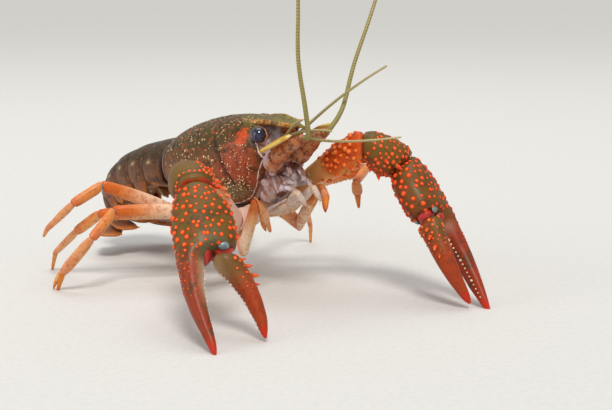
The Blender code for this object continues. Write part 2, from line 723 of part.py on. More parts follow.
def make_underside(finish, parent):
    """The breastplate between the legs, with the short round bases that the legs stand on."""
    rings = []
    for (forward, width), top in zip(UNDERSIDE, UNDERSIDE_TOPS):
        high = min(top, shell_height(forward)[2] - 4 * GAP)
        centre = body(forward, 0.0, high - UNDERSIDE_DEPTH * 0.5)
        rings.append(oval(centre, SIDEWAYS, UPWARD, width, UNDERSIDE_DEPTH * 0.5, 12, 4.0))
    node = add_node("breastplate", skin(rings), finish, parent)
    bases = []
    for number, forward in enumerate(LEG_BASES):
        radius = LEG_BASE_RADII[number]
        for side in (-1.0, 1.0):
            start = body(forward - LEG_BASE_SWEEP[number], side * 2.0, LEG_BASE_HEIGHTS[number])
            end = body(forward, side * LEG_BASE_OUT, LEG_BASE_HEIGHTS[number])
            end -= (end - start).normalized() * GAP
            bases.append(tube([start, end], [radius, radius * 0.92], 10))
    boolean(node, bases, "UNION")


def make_mouth(finish, parent):
    """The front of the head below the shell, that carries the feelers and jaws."""
    rings = []
    for forward, share in MOUTH_STATIONS:
        half, _, low = shell_height(forward)
        high = low - 2 * GAP
        deep = MOUTH_FLOOR + max(0.0, forward - MOUTH_STATIONS[1][0]) * MOUTH_RISE
        centre = body(forward, 0.0, (high + deep) * 0.5)
        rings.append(oval(centre, SIDEWAYS, UPWARD, half * share, (high - deep) * 0.5, 14, 3.4))
    add_node("mouth_frame", skin(rings), finish, parent)


def make_eye(side, word, finish, parent):
    centre = body(EYE[0], side * EYE[1], EYE[2])
    root = body(EYE_STALK_ROOT[0] - 0.4, side * EYE_STALK_ROOT[1], EYE_STALK_ROOT[2])
    node = add_node("eye_" + word, ball(centre, EYE_RADIUS, 14, 9), finish, parent)
    boolean(node, [tube([root, centre], [EYE_STALK_RADIUS] * 2, 10)], "UNION")


def make_feelers(side, word, stuff, parent):
    base = [body(f, side * l, z) for f, l, z in ANTENNA_BASE]
    add_node("antenna_base_" + word, limb(base, ANTENNA_BASE_WIDTHS, SIDEWAYS, 12), stuff["face"], parent)
    small = [body(f, side * l, z) for f, l, z in ANTENNULE_BASE]
    node = add_node("antennule_" + word, limb(small, ANTENNULE_WIDTHS, SIDEWAYS), stuff["feeler"], parent)
    whips = []
    steps = ANTENNULE_WHIP_STEPS
    thinning = (ANTENNULE_WHIP_TIP - ANTENNULE_WHIP_ROOT) / steps
    for start, lean, length, bend in ANTENNULE_WHIPS[word]:
        root = small[-1] + body(-0.8, side * start, 0.1)
        tip = small[-1] + body(*lean).normalized() * length
        path = bow(root, tip, body(0.0, *bend), steps)
        whips.append(tube(path, [ANTENNULE_WHIP_ROOT + thinning * i for i in range(steps + 1)], 6))
    boolean(node, whips, "UNION")


def make_scale(side, word, finish, parent):
    root, tip = (body(f, side * l, z) for f, l, z in SCALE_ENDS)
    along = (tip - root).normalized()
    across = across_axis(along, Vector((side, 0, SCALE_LEAN)))
    length = (tip - root).length
    outline = [(x * SCALE_WIDTH, y * length) for x, y in SCALE_OUTLINE]
    mesh = blade(outline, SCALE_THICK, frame_at(root, across, along))
    node = add_node("antennal_scale_" + word, mesh, finish, parent)
    edge = [root + across * (0.36 * SCALE_WIDTH) + along * (length * y) for y in (0.06, 0.5, 0.9)]
    spine = pointed(edge[-1] - along * 0.4, along, *SCALE_SPINE)
    boolean(node, [tube(edge, SCALE_RIB, 6), spine], "UNION")


def whip_path(root, along, word):
    """A smooth line that leaves the feeler's base straight and then passes through the named places."""
    points = [root + along * WHIP_STRAIGHT, *[Vector(p) for p in WHIP[word]]]
    smooth = [root]
    for index in range(len(points) - 1):
        p0 = points[max(index - 1, 0)]
        p1 = points[index]
        p2 = points[index + 1]
        p3 = points[min(index + 2, len(points) - 1)]
        for step in range(WHIP_STEPS):
            t = step / WHIP_STEPS
            linear = (p2 - p0) * t
            square = (2 * p0 - 5 * p1 + 4 * p2 - p3) * t * t
            cubic = (3 * p1 - p0 - 3 * p2 + p3) * t * t * t
            smooth.append(0.5 * (2 * p1 + linear + square + cubic))
    smooth.append(points[-1])
    return smooth


def make_whip(word, side, finish, parent):
    """The long feeler, from its base to its tip."""
    base = [stand(f, side * l, z) for f, l, z in ANTENNA_BASE]
    along = (base[-1] - base[-2]).normalized()
    path = whip_path(base[-1] + along * GAP, along, word)
    count = len(path) - 1
    radii = [WHIP_ROOT + (WHIP_TIP - WHIP_ROOT) * (i / count) ** 0.8 for i in range(count + 1)]
    add_node("antenna_" + word, tube(path, radii, 6), finish, parent)


def make_jaw_leg(side, word, finish, parent):
    """The outer jaw foot: a broad inner length, then a thinner one that bends down at its end."""
    points = [body(f, side * l, z) for f, l, z in JAW_FOOT]
    node = add_node("jaw_foot_" + word, limb(points, JAW_FOOT_WIDTHS, SIDEWAYS), finish, parent)
    teeth = []
    for index in range(JAW_TEETH):
        share = (index + 0.5) / JAW_TEETH
        place = points[0].lerp(points[1], share) - SIDEWAYS * side
        teeth.append(pointed(place, Vector((-side, 0, -0.3)), *JAW_TOOTH, BUMP_SIDES))
    boolean(node, teeth, "UNION")


def limb_base(number, side):
    """Where a limb leaves the body, and its heading there."""
    base = stand(LEG_BASES[number], side * LEG_BASE_OUT, LEG_BASE_HEIGHTS[number])
    inner = stand(LEG_BASES[number] - LEG_BASE_SWEEP[number], side * 2.0, LEG_BASE_HEIGHTS[number])
    return base, (base - inner).normalized()


def make_claw_arm(word, base, base_axis, bend, elbow, elbow_normal, stuff, parent, rng):
    mesh = limb(
        [base + base_axis * GAP, bend, elbow - elbow_normal * GAP],
        ARM_WIDTHS, UPWARD, 14, base_axis, elbow_normal, 2.3,
    )
    tree = BVHTree.FromBMesh(mesh)
    node = add_node("claw_arm_" + word, mesh, stuff["arm"], parent)
    along = (elbow - bend).normalized()
    across = across_axis(along, UPWARD)
    pieces = bumps(tree, bend, along, across, ARM_BUMP_ROWS, 3, BUMP, rng, (-2.2, 2.2))
    pieces += bumps(tree, bend, along, -across, ARM_SPINE_ROWS, 2, ARM_SPINE, rng, (-0.5, 0.7), 0.12)
    boolean(node, pieces, "UNION")


def make_claw_forearm(word, elbow, wrist, elbow_normal, wrist_normal, medial, stuff, parent, rng):
    mesh = limb(
        [elbow + elbow_normal * GAP, wrist - wrist_normal * GAP],
        FOREARM_WIDTHS, medial, 16, elbow_normal, wrist_normal, 2.2,
    )
    tree = BVHTree.FromBMesh(mesh)
    node = add_node("claw_forearm_" + word, mesh, stuff["arm"], parent)
    along = (wrist - elbow).normalized()
    across = across_axis(along, medial)
    pieces = bumps(tree, elbow, along, across, FOREARM_BUMP_ROWS, 6, BUMP, rng)
    for share, lean in FOREARM_SPINES:
        spot = (elbow.lerp(wrist, share), across)
        pieces += spines_on(tree, [spot], FOREARM_SPINE, along * lean, 6, 0.12, 0.8)
    boolean(node, pieces, "UNION")


def palm_share(share, word):
    """A share of the claw's length, with the palm as long as this claw's is."""
    end = PALM_END * PALM_LENGTH[word]
    if share <= PALM_END:
        return share * PALM_LENGTH[word]
    return end + (share - PALM_END) * (1.0 - end) / (1.0 - PALM_END)


def make_claw_palm(word, wrist, tip, medial, wrist_normal, stuff, parent, rng):
    length = (tip - wrist).length
    along = (tip - wrist) / length
    thick_way = along.cross(medial)
    rings = []
    for share, out, half, thick in PALM:
        centre = wrist + along * (palm_share(share, word) * length) + medial * out
        ring = oval(centre, medial, thick_way, half, thick, 18, 2.2)
        if share == 0.0:
            ring = [p + wrist_normal * GAP for p in mitred(ring, centre, along, wrist_normal)]
        rings.append(ring)
    mesh = skin(rings)
    cut_below(mesh, 0.0)
    tree = BVHTree.FromBMesh(mesh)
    node = add_node("claw_palm_" + word, mesh, stuff["palm"], parent)
    pieces = bumps(tree, wrist + medial, along, medial, PALM_BUMP_ROWS, PALM_BUMPS_ROUND, BUMP, rng)
    finger_line = wrist - medial * 2.6
    pieces += bumps(tree, finger_line, along, -medial, FINGER_BUMP_ROWS, 3, BUMP, rng, (-1.4, 1.4))
    count, first, step = FINGER_TEETH
    spots = []
    for index in range(count):
        share = first + step * index
        inset = 2.3 if share < 0.75 else 1.0
        spots.append((wrist + along * (share * length) - medial * inset, medial))
    pieces += spines_on(tree, spots, TOOTH)
    boolean(node, pieces, "UNION")


def make_claw_thumb(word, wrist, tip, medial, stuff, parent):
    length = (tip - wrist).length
    palm_axis = (tip - wrist) / length
    root = wrist + palm_axis * (palm_share(THUMB_START, word) * length) + medial * THUMB_OUT
    reach = (THUMB_TIP[word] - root).length
    axis = (THUMB_TIP[word] - root) / reach
    outer = across_axis(axis, medial)
    rings = []
    for share, out, half, thick in THUMB:
        centre = root + axis * (share * reach) + outer * out
        ring = oval(centre, outer, axis.cross(outer), half, thick, 14, 2.2)
        if share == 0.0:
            ring = mitred(ring, centre, axis, palm_axis)
        rings.append(ring)
    mesh = skin(rings)
    cut_below(mesh, 0.0)
    tree = BVHTree.FromBMesh(mesh)
    node = add_node("claw_thumb_" + word, mesh, stuff["finger"], parent)
    pieces = []
    for share, size in THUMB_SPINES:
        spot = (root + axis * (share * reach) + outer, outer)
        pieces += spines_on(tree, [spot], (size, size * 1.7), axis * 0.5, 6, 0.12, 0.8)
    count, first, step = THUMB_TEETH
    spots = [(root + axis * ((first + step * i) * reach) + outer * 0.8, -outer) for i in range(count)]
    pieces += spines_on(tree, spots, TOOTH)
    boolean(node, pieces, "UNION")


def make_claw(side, word, stuff, parent):
    rng = random.Random(11 if word == "right" else 12)
    base, base_axis = limb_base(0, side)
    bend, elbow, wrist = CLAW_ARM[word]
    tip = CLAW_TIP[word]
    arm_axis = (elbow - bend).normalized()
    fore_axis = (wrist - elbow).normalized()
    palm_axis = (tip - wrist).normalized()
    medial = across_axis(palm_axis, CLAW_HINGE[word] - wrist)
    elbow_normal = (arm_axis + fore_axis).normalized()
    wrist_normal = (fore_axis + palm_axis).normalized()
    make_claw_arm(word, base, base_axis, bend, elbow, elbow_normal, stuff, parent, rng)
    make_claw_forearm(word, elbow, wrist, elbow_normal, wrist_normal, medial, stuff, parent, rng)
    make_claw_palm(word, wrist, tip, medial, wrist_normal, stuff, parent, rng)
    make_claw_thumb(word, wrist, tip, medial, stuff, parent)


def make_leg(name, stuff, parent):
    """A walking leg in two nodes that meet at the knee; the front ones end in a small pincer."""
    side = -1.0 if name.endswith("right") else 1.0
    base, base_axis = limb_base(int(name[4]) - 1, side)
    bend, knee, ankle, toe_root, toe = (Vector(p) for p in LEGS[name])
    thigh = (knee - bend).normalized()
    shin = (ankle - knee).normalized()
    knee_normal = (thigh + shin).normalized()
    upper = limb(
        [base + base_axis * GAP, bend, knee - knee_normal * GAP],
        LEG_UPPER, UPWARD, 10, base_axis, knee_normal,
    )
    add_node(name + "_upper", upper, stuff["leg"], parent)
    hint = across_axis(shin, UPWARD + thigh * 0.2)
    pincer = name in PINCER_LEGS
    widths = LEG_LOWER_PINCER if pincer else LEG_LOWER
    lower = limb([knee + knee_normal * GAP, ankle, toe_root, toe], widths, hint, 10, knee_normal)
    if name in FLOOR_LEGS:
        cut_below(lower, 0.0)
    node = add_node(name + "_lower", lower, stuff["leg"], parent)
    if pincer:
        along = (toe - toe_root).normalized()
        out = across_axis(along, Vector((side * 0.6, 0.8, 0.2)))
        hand = (toe_root - ankle).normalized()
        root = toe_root - hand * PINCER_SET_BACK + out * 0.2
        point = toe + out * PINCER_OPEN - along * 0.2
        finger = tube(bow(root, point, out * 0.5, 4), PINCER_FINGER, 8)
        if name in FLOOR_LEGS:
            cut_below(finger, 0.0)
        boolean(node, [finger], "UNION")


def tail_frame(index, share):
    """Centre, heading along the tail, and sideways axis at one place of the abdomen."""
    joints = [Vector((TAIL_SIDEWAYS, y, z)) for y, z in TAIL_JOINTS]
    start, end = joints[index], joints[index + 1]
    along = (end - start).normalized()
    turned = ROLL * (1.0 - (index + share) / 6.0)
    across = across_axis(along, Vector((math.cos(turned), 0.0, math.sin(turned))))
    return start.lerp(end, share), along, across


def tail_ring(index, share, normal, shift):
    centre, along, across = tail_frame(index, share)
    up = across.cross(along)
    near = min(int(index + share), 5)
    rest = index + share - near
    swell = 1.0 + SECTION_SWELL * math.sin(math.pi * share)
    half = (TAIL_HALF_WIDTH[near] * (1 - rest) + TAIL_HALF_WIDTH[near + 1] * rest) * swell
    arch = (TAIL_ARCH[near] * (1 - rest) + TAIL_ARCH[near + 1] * rest) * swell
    belly = TAIL_BELLY[near] * (1 - rest) + TAIL_BELLY[near + 1] * rest
    ring = []
    for step in range(SECTION_SIDES):
        turn = math.tau * step / SECTION_SIDES
        x = power(math.cos(turn), SECTION_ARCH_POWER) * half
        z = power(math.sin(turn), SECTION_ARCH_POWER) * (arch if math.sin(turn) > 0 else belly)
        ring.append(centre + across * x + up * z)
    if normal is not None:
        ring = [p + normal * shift for p in mitred(ring, centre, along, normal)]
    return ring


def make_tail_section(index, stuff, parent):
    """One ring of the abdomen with its side flaps and the small limbs under it."""
    centre, along, across = tail_frame(index, 0.5)
    before = tail_frame(index - 1, 0.5)[1] if index else along
    after = tail_frame(index + 1, 0.5)[1] if index < 5 else along
    hind_face = (BODY_FRAME.to_3x3() @ Vector((0.0, 1.0, 0.0))).normalized()
    front = (before + along).normalized() if index else hind_face
    back = (after + along).normalized()
    rings = [tail_ring(index, 0.0, front, GAP)]
    rings += [tail_ring(index, share, None, 0.0) for share in (0.3, 0.65)]
    rings.append(tail_ring(index, 1.0, back, -GAP))
    node = add_node(f"abdomen_{index + 1}", skin(rings), stuff["shell_dark"], parent)
    up = across.cross(along)
    pieces = []
    half = TAIL_HALF_WIDTH[index] * 0.5 + TAIL_HALF_WIDTH[index + 1] * 0.5
    drop = FLAP_DROP[index]
    length = (tail_frame(index, 1.0)[0] - tail_frame(index, 0.0)[0]).length * FLAP_SHARE
    for side in (-1.0, 1.0):
        top = centre + across * (side * (half - FLAP_INSET)) + up
        outline = [(x * length, y * (drop + 1.0)) for x, y in FLAP_OUTLINE]
        frame = Matrix((along, -up, across * side)).transposed().to_4x4()
        frame.translation = top
        pieces.append(blade(outline, FLAP_THICK, frame))
    if index < 5:
        for side in (-1.0, 1.0):
            root = centre + across * (side * half * 0.42) - up * (TAIL_BELLY[index] - 0.9)
            lean = (-up - along * SWIM_LEAN[index] + across * side * 0.15).normalized()
            middle = root + lean * SWIM_LENGTH[index] * 0.45
            end = root + lean * SWIM_LENGTH[index]
            pieces.append(limb([root, middle, end], SWIM_WIDTHS, across, 8))
    boolean(node, pieces, "UNION")


def make_fan(stuff, parent):
    """The middle plate and the four side plates, folded forward under the abdomen."""
    joints = [Vector((TAIL_SIDEWAYS, y, z)) for y, z in TAIL_JOINTS]
    last_axis = (joints[-1] - joints[-2]).normalized()
    heading = Vector((0.0, math.cos(FAN_HEADING), -abs(math.sin(FAN_HEADING))))
    root = joints[-1] + (last_axis + heading).normalized() * FAN_SET_BACK
    up = SIDEWAYS.cross(heading)
    for name, side, turn_out, shift, level, length, half in FAN_PLATES:
        turned = Matrix.Rotation(-side * math.radians(turn_out), 3, up)
        along = turned @ heading
        over = turned @ SIDEWAYS
        frame = frame_at(root + SIDEWAYS * (side * shift) + up * level, over, along)
        outline = [(x * half, y * length) for x, y in PLATE_OUTLINE]
        node = add_node(name, blade(outline, PLATE_THICK, frame), stuff["shell_dark"], parent)
        ridge = [frame @ Vector((0.0, length * y, 0.42)) for y in (0.06, 0.45, 0.8)]
        pieces = [tube(ridge, PLATE_RIB, 6)]
        if name == "telson":
            for edge in (-1.0, 1.0):
                spot = frame @ Vector((edge * half * 0.86, length * 0.62, 0.0))
                pieces.append(pointed(spot, along + over * edge * 0.25, *TELSON_SPINE))
        boolean(node, pieces, "UNION")


clear_scene()
PARTS = new_collection("red_swamp_crayfish")
ROOT = new_empty("crayfish")
BODY = new_empty("body_frame", ROOT)
BODY.matrix_local = Matrix.LocRotScale(BODY_FRAME.translation * MM, BODY_FRAME.to_quaternion(), None)
STUFF = {
    "shell": finish_material("shell_olive_brown", (0.17, 0.10, 0.055), 0.38),
    "shell_dark": finish_material("shell_dark_brown", (0.09, 0.055, 0.035), 0.40),
    "face": finish_material("face_pink_brown", (0.42, 0.26, 0.20), 0.42),
    "feeler": finish_material("feeler_tan", (0.38, 0.26, 0.12), 0.42),
    "scale": finish_material("scale_straw", (0.66, 0.50, 0.20), 0.30),
    "eye": finish_material("eye_dark", (0.012, 0.014, 0.03), 0.08),
    "arm": finish_material("arm_red", (0.55, 0.10, 0.035), 0.38),
    "palm": finish_material("palm_olive_red", (0.34, 0.10, 0.04), 0.38),
    "finger": finish_material("finger_dark_red", (0.42, 0.05, 0.025), 0.34),
    "leg": finish_material("leg_pale_orange", (0.78, 0.42, 0.20), 0.40),
    "under": finish_material("underside_cream", (0.72, 0.62, 0.52), 0.45),
}

make_carapace(STUFF["shell"], BODY)
make_underside(STUFF["under"], BODY)
make_mouth(STUFF["face"], BODY)
for side_sign, side_word in ((-1.0, "right"), (1.0, "left")):
    make_eye(side_sign, side_word, STUFF["eye"], BODY)
    make_feelers(side_sign, side_word, STUFF, BODY)
    make_scale(side_sign, side_word, STUFF["scale"], BODY)
    make_jaw_leg(side_sign, side_word, STUFF["face"], BODY)
    make_whip(side_word, side_sign, STUFF["feeler"], ROOT)
    make_claw(side_sign, side_word, STUFF, ROOT)
for leg_name in LEGS:
    make_leg(leg_name, STUFF, ROOT)
for section in range(len(TAIL_JOINTS) - 1):
    make_tail_section(section, STUFF, ROOT)
make_fan(STUFF, ROOT)

# The whole stands centred over its origin, with its lowest flats on the floor.
bpy.context.view_layer.update()
low = Vector((math.inf, math.inf, math.inf))
high = -low
for thing in PARTS.objects:
    if thing.type == "MESH":
        for vert in thing.data.vertices:
            spot = thing.matrix_world @ vert.co
            low = Vector(map(min, low, spot))
            high = Vector(map(max, high, spot))
ROOT.location = (-(low.x + high.x) / 2, -(low.y + high.y) / 2, -low.z)
print("box mm", [round(v / MM, 2) for v in (*low, *high)])
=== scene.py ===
"""Dressed model of a red swamp crayfish, life size, standing on its claw tips and hind legs.

Sizes are in millimetres in the animal's own carriage until a finished mesh is written in metres.
"""

from __future__ import annotations

import logging
import random
from collections.abc import Callable, Sequence
from dataclasses import dataclass, field
from enum import Enum
from math import acos, copysign, cos, exp, pi, radians, sin, sqrt, tau

import bmesh
import bpy
import numpy as np
from bmesh.types import BMesh, BMVert
from bpy.types import ID, Material, NodeSocket, Object
from mathutils import Matrix, Vector, noise
from mathutils.bvhtree import BVHTree

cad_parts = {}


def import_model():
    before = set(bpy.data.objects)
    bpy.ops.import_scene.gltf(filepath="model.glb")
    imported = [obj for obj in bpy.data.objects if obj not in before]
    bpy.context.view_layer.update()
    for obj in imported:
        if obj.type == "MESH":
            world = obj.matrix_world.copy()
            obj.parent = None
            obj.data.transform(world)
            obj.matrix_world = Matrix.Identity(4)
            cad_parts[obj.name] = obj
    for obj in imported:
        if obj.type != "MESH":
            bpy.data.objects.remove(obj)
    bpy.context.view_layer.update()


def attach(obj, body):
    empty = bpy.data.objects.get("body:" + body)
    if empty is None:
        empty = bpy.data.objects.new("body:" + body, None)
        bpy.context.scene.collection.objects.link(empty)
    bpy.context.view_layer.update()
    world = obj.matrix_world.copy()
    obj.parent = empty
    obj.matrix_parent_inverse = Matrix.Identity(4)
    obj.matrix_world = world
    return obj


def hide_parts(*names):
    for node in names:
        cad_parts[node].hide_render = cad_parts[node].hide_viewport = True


LOG = logging.getLogger("crayfish")
MM = 0.001
# Half of the space left between two neighbouring shells.
GAP = 0.15
# Fixes the shells' unevenness, so that every build is the same.
NOISE_SEED = 7

# A display colour as six hex digits.
Tint = str
Spots = tuple[Tint, float, float]
Row = tuple[float, ...]
Rows = tuple[Row, ...]
SIDEWAYS = Vector((1, 0, 0))
UPWARD = Vector((0, 0, 1))
SIDES = ((-1, "right"), (1, "left"))


def linear(tint: Tint) -> Row:
    """A display colour as the linear colour that a shader takes."""
    shares = [int(tint[place : place + 2], 16) / 255 for place in (0, 2, 4)]
    return tuple(share / 12.92 if share <= 0.04045 else ((share + 0.055) / 1.055) ** 2.4 for share in shares)


def bell(away: float, width: float) -> float:
    """A soft bump: 1 at nought, nearly gone two widths away."""
    return exp(-((away / width) ** 2))


def enter(name: str, data: ID) -> Object:
    """A new object of the scene.

    Args:
        name: Its name.
        data: Its mesh, light or camera.

    Returns:
        The object.
    """
    made = bpy.data.objects.new(name, data)
    bpy.context.scene.collection.objects.link(made)
    return made


def frame_of(x: Vector, y: Vector, z: Vector, place: Vector) -> Matrix:
    """The frame with these axes at that place."""
    return Matrix.Translation(place) @ Matrix((x, y, z)).transposed().to_4x4()


def body(forward: float, left: float, up: float) -> Vector:
    """A point of the carapace's own frame."""
    return Vector((left, -forward, up))


@dataclass(frozen=True)
class Carriage:
    """How the body is carried: nose up, left side up, and where its middle stands."""

    pitch: float = radians(11.1)
    roll: float = radians(8.2)
    middle: Row = (0, 0, 32)
    middle_forward: float = 24
    middle_up: float = 9
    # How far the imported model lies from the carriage's own origin.
    packed: Row = (0.305, 0.575, 0)

    def matrix(self) -> Matrix:
        """The body's frame in the carriage."""
        return (
            Matrix.Translation(Vector(self.middle))
            @ Matrix.Rotation(-self.pitch, 4, "X")
            @ Matrix.Rotation(-self.roll, 4, "Y")
            @ Matrix.Translation(-body(self.middle_forward, 0, self.middle_up))
        )

    def stand(self, forward: float, left: float, up: float) -> Vector:
        """A point of the carapace once the body stands on its legs."""
        return self.matrix() @ body(forward, left, up)


CARRIAGE = Carriage()


# Shapes


def across_axis(along: Vector, hint: Vector) -> Vector:
    """The unit direction nearest to hint that is square to along."""
    return (hint - along * hint.dot(along)).normalized()


def power(value: float, exponent: float) -> float:
    """A sine or cosine raised to a power with its sign kept."""
    return copysign(abs(value) ** exponent, value)


def ease(value: float, low: float, high: float) -> float:
    """A soft step from 0 at low to 1 at high."""
    share = min(1, max(0, (value - low) / (high - low)))
    return share * share * (3 - 2 * share)


def oval(
    centre: Vector, across: Vector, up: Vector, half_across: float, half_up: float, sides: int, squareness: float = 2
) -> list[Vector]:
    """A closed ring of points.

    Args:
        centre: The ring's middle.
        across: Unit direction of its first half width.
        up: Unit direction of its second half width.
        half_across: Half width along across.
        half_up: Half width along up.
        sides: How many points it has.
        squareness: 2 is an ellipse, more is squarer.

    Returns:
        The points, starting along across and turning towards up.
    """
    ring = []
    for step in range(sides):
        turn = tau * step / sides
        x = power(cos(turn), 2 / squareness) * half_across
        y = power(sin(turn), 2 / squareness) * half_up
        ring.append(centre + across * x + up * y)
    return ring


def mitred(ring: list[Vector], centre: Vector, along: Vector, normal: Vector) -> list[Vector]:
    """The ring slid along its own axis onto the plane of a joint."""
    return [p - along * ((p - centre).dot(normal) / along.dot(normal)) for p in ring]


def bow(start: Vector, end: Vector, sag: Vector, steps: int) -> list[Vector]:
    """Points of an arc from start to end, bulging by the vector sag.

    Args:
        start: Where it starts.
        end: Where it ends.
        sag: How far its middle bulges.
        steps: How many parts it has.

    Returns:
        The points.
    """
    points = []
    for step in range(steps + 1):
        share = step / steps
        points.append(start.lerp(end, share) + sag * (4 * share * (1 - share)))
    return points


class Profile:
    """Named rows of sizes, read at any place between them without overshoot."""

    def __init__(self, rows: Rows) -> None:
        """Works out the slope at each row.

        Args:
            rows: Each row is its place followed by the sizes there.
        """
        self.rows = rows
        self.slopes = [self._slopes(column) for column in range(1, len(rows[0]))]

    def _slopes(self, column: int) -> list[float]:
        """Slopes of one column: none at a turning point, otherwise between the two sides' slopes.

        Args:
            column: Which of the sizes.

        Returns:
            A slope for each row.
        """
        rises = []
        for near, far in zip(self.rows, self.rows[1:]):
            rises.append((far[column] - near[column]) / (far[0] - near[0]))
        slopes = [rises[0]]
        for left, right in zip(rises, rises[1:]):
            slopes.append(0 if left * right <= 0 else 2 * left * right / (left + right))
        return [*slopes, rises[-1]]

    def at(self, place: float) -> Row:
        """The sizes at one place, held beyond the first and last rows.

        Args:
            place: Where along the rows.

        Returns:
            One value for each size.
        """
        place = min(max(place, self.rows[0][0]), self.rows[-1][0])
        index = 0
        while index < len(self.rows) - 2 and place > self.rows[index + 1][0]:
            index += 1
        near, far = self.rows[index], self.rows[index + 1]
        span = far[0] - near[0]
        t = (place - near[0]) / span
        sizes = []
        for column, slopes in enumerate(self.slopes, start=1):
            rise = (2 * t**3 - 3 * t**2 + 1) * near[column] + (3 * t**2 - 2 * t**3) * far[column]
            lean = (t**3 - 2 * t**2 + t) * slopes[index] + (t**3 - t**2) * slopes[index + 1]
            sizes.append(rise + lean * span)
        return tuple(sizes)


def spread(first: float, last: float, count: int) -> list[float]:
    """Count places from first to last, evenly apart."""
    return [first + (last - first) * step / (count - 1) for step in range(count)]


def smooth_path(points: Sequence[Vector], steps: int) -> list[Vector]:
    """A smooth line through all the points, with that many steps between two of them.

    Args:
        points: What the line passes through.
        steps: Points from one of them to the next.

    Returns:
        The points of the line.
    """
    smooth = []
    for index in range(len(points) - 1):
        p0 = points[max(index - 1, 0)]
        p1 = points[index]
        p2 = points[index + 1]
        p3 = points[min(index + 2, len(points) - 1)]
        for step in range(steps):
            t = step / steps
            linear = (p2 - p0) * t
            square = (2 * p0 - 5 * p1 + 4 * p2 - p3) * t * t
            cubic = (3 * p1 - p0 - 3 * p2 + p3) * t * t * t
            smooth.append(0.5 * (2 * p1 + linear + square + cubic))
    smooth.append(points[-1])
    return smooth


class Raised(Enum):
    """The kinds of raised point on a shell."""

    KNOB = "knob"
    SPINE = "spine"
    BRISTLE = "bristle"

    def shape(self) -> BMesh:
        """One such point, a unit wide and high, its root sunk below nought.

        Returns:
            The mesh, which the caller frees.
        """
        mesh = bmesh.new()
        if self is Raised.KNOB:
            bmesh.ops.create_uvsphere(mesh, u_segments=8, v_segments=6, radius=1)
            return mesh
        segments, root, tip = (10, 1.12, 0.09) if self is Raised.SPINE else (5, 1, 0.2)
        bmesh.ops.create_cone(
            mesh, cap_ends=True, cap_tris=False, segments=segments, radius1=root, radius2=tip, depth=1.35
        )
        bmesh.ops.translate(mesh, verts=mesh.verts, vec=(0, 0, 0.325))
        upright = [edge for edge in mesh.edges if abs(edge.verts[0].co.z - edge.verts[1].co.z) > 1]
        bmesh.ops.subdivide_edges(mesh, edges=upright, cuts=2)
        for vert in mesh.verts:
            level = max(0, vert.co.z)
            swell = 1 + 0.22 * sin(pi * min(1, level * 0.9))
            vert.co.x = vert.co.x * swell + 0.22 * level * level * (0.5 if self is Raised.SPINE else 4)
            vert.co.y *= swell
        return mesh


@dataclass(frozen=True)
class Stud:
    """Where one raised point stands, how large it is, and how it is painted."""

    kind: Raised
    where: Matrix
    share: float
    pale: float
    finish: int


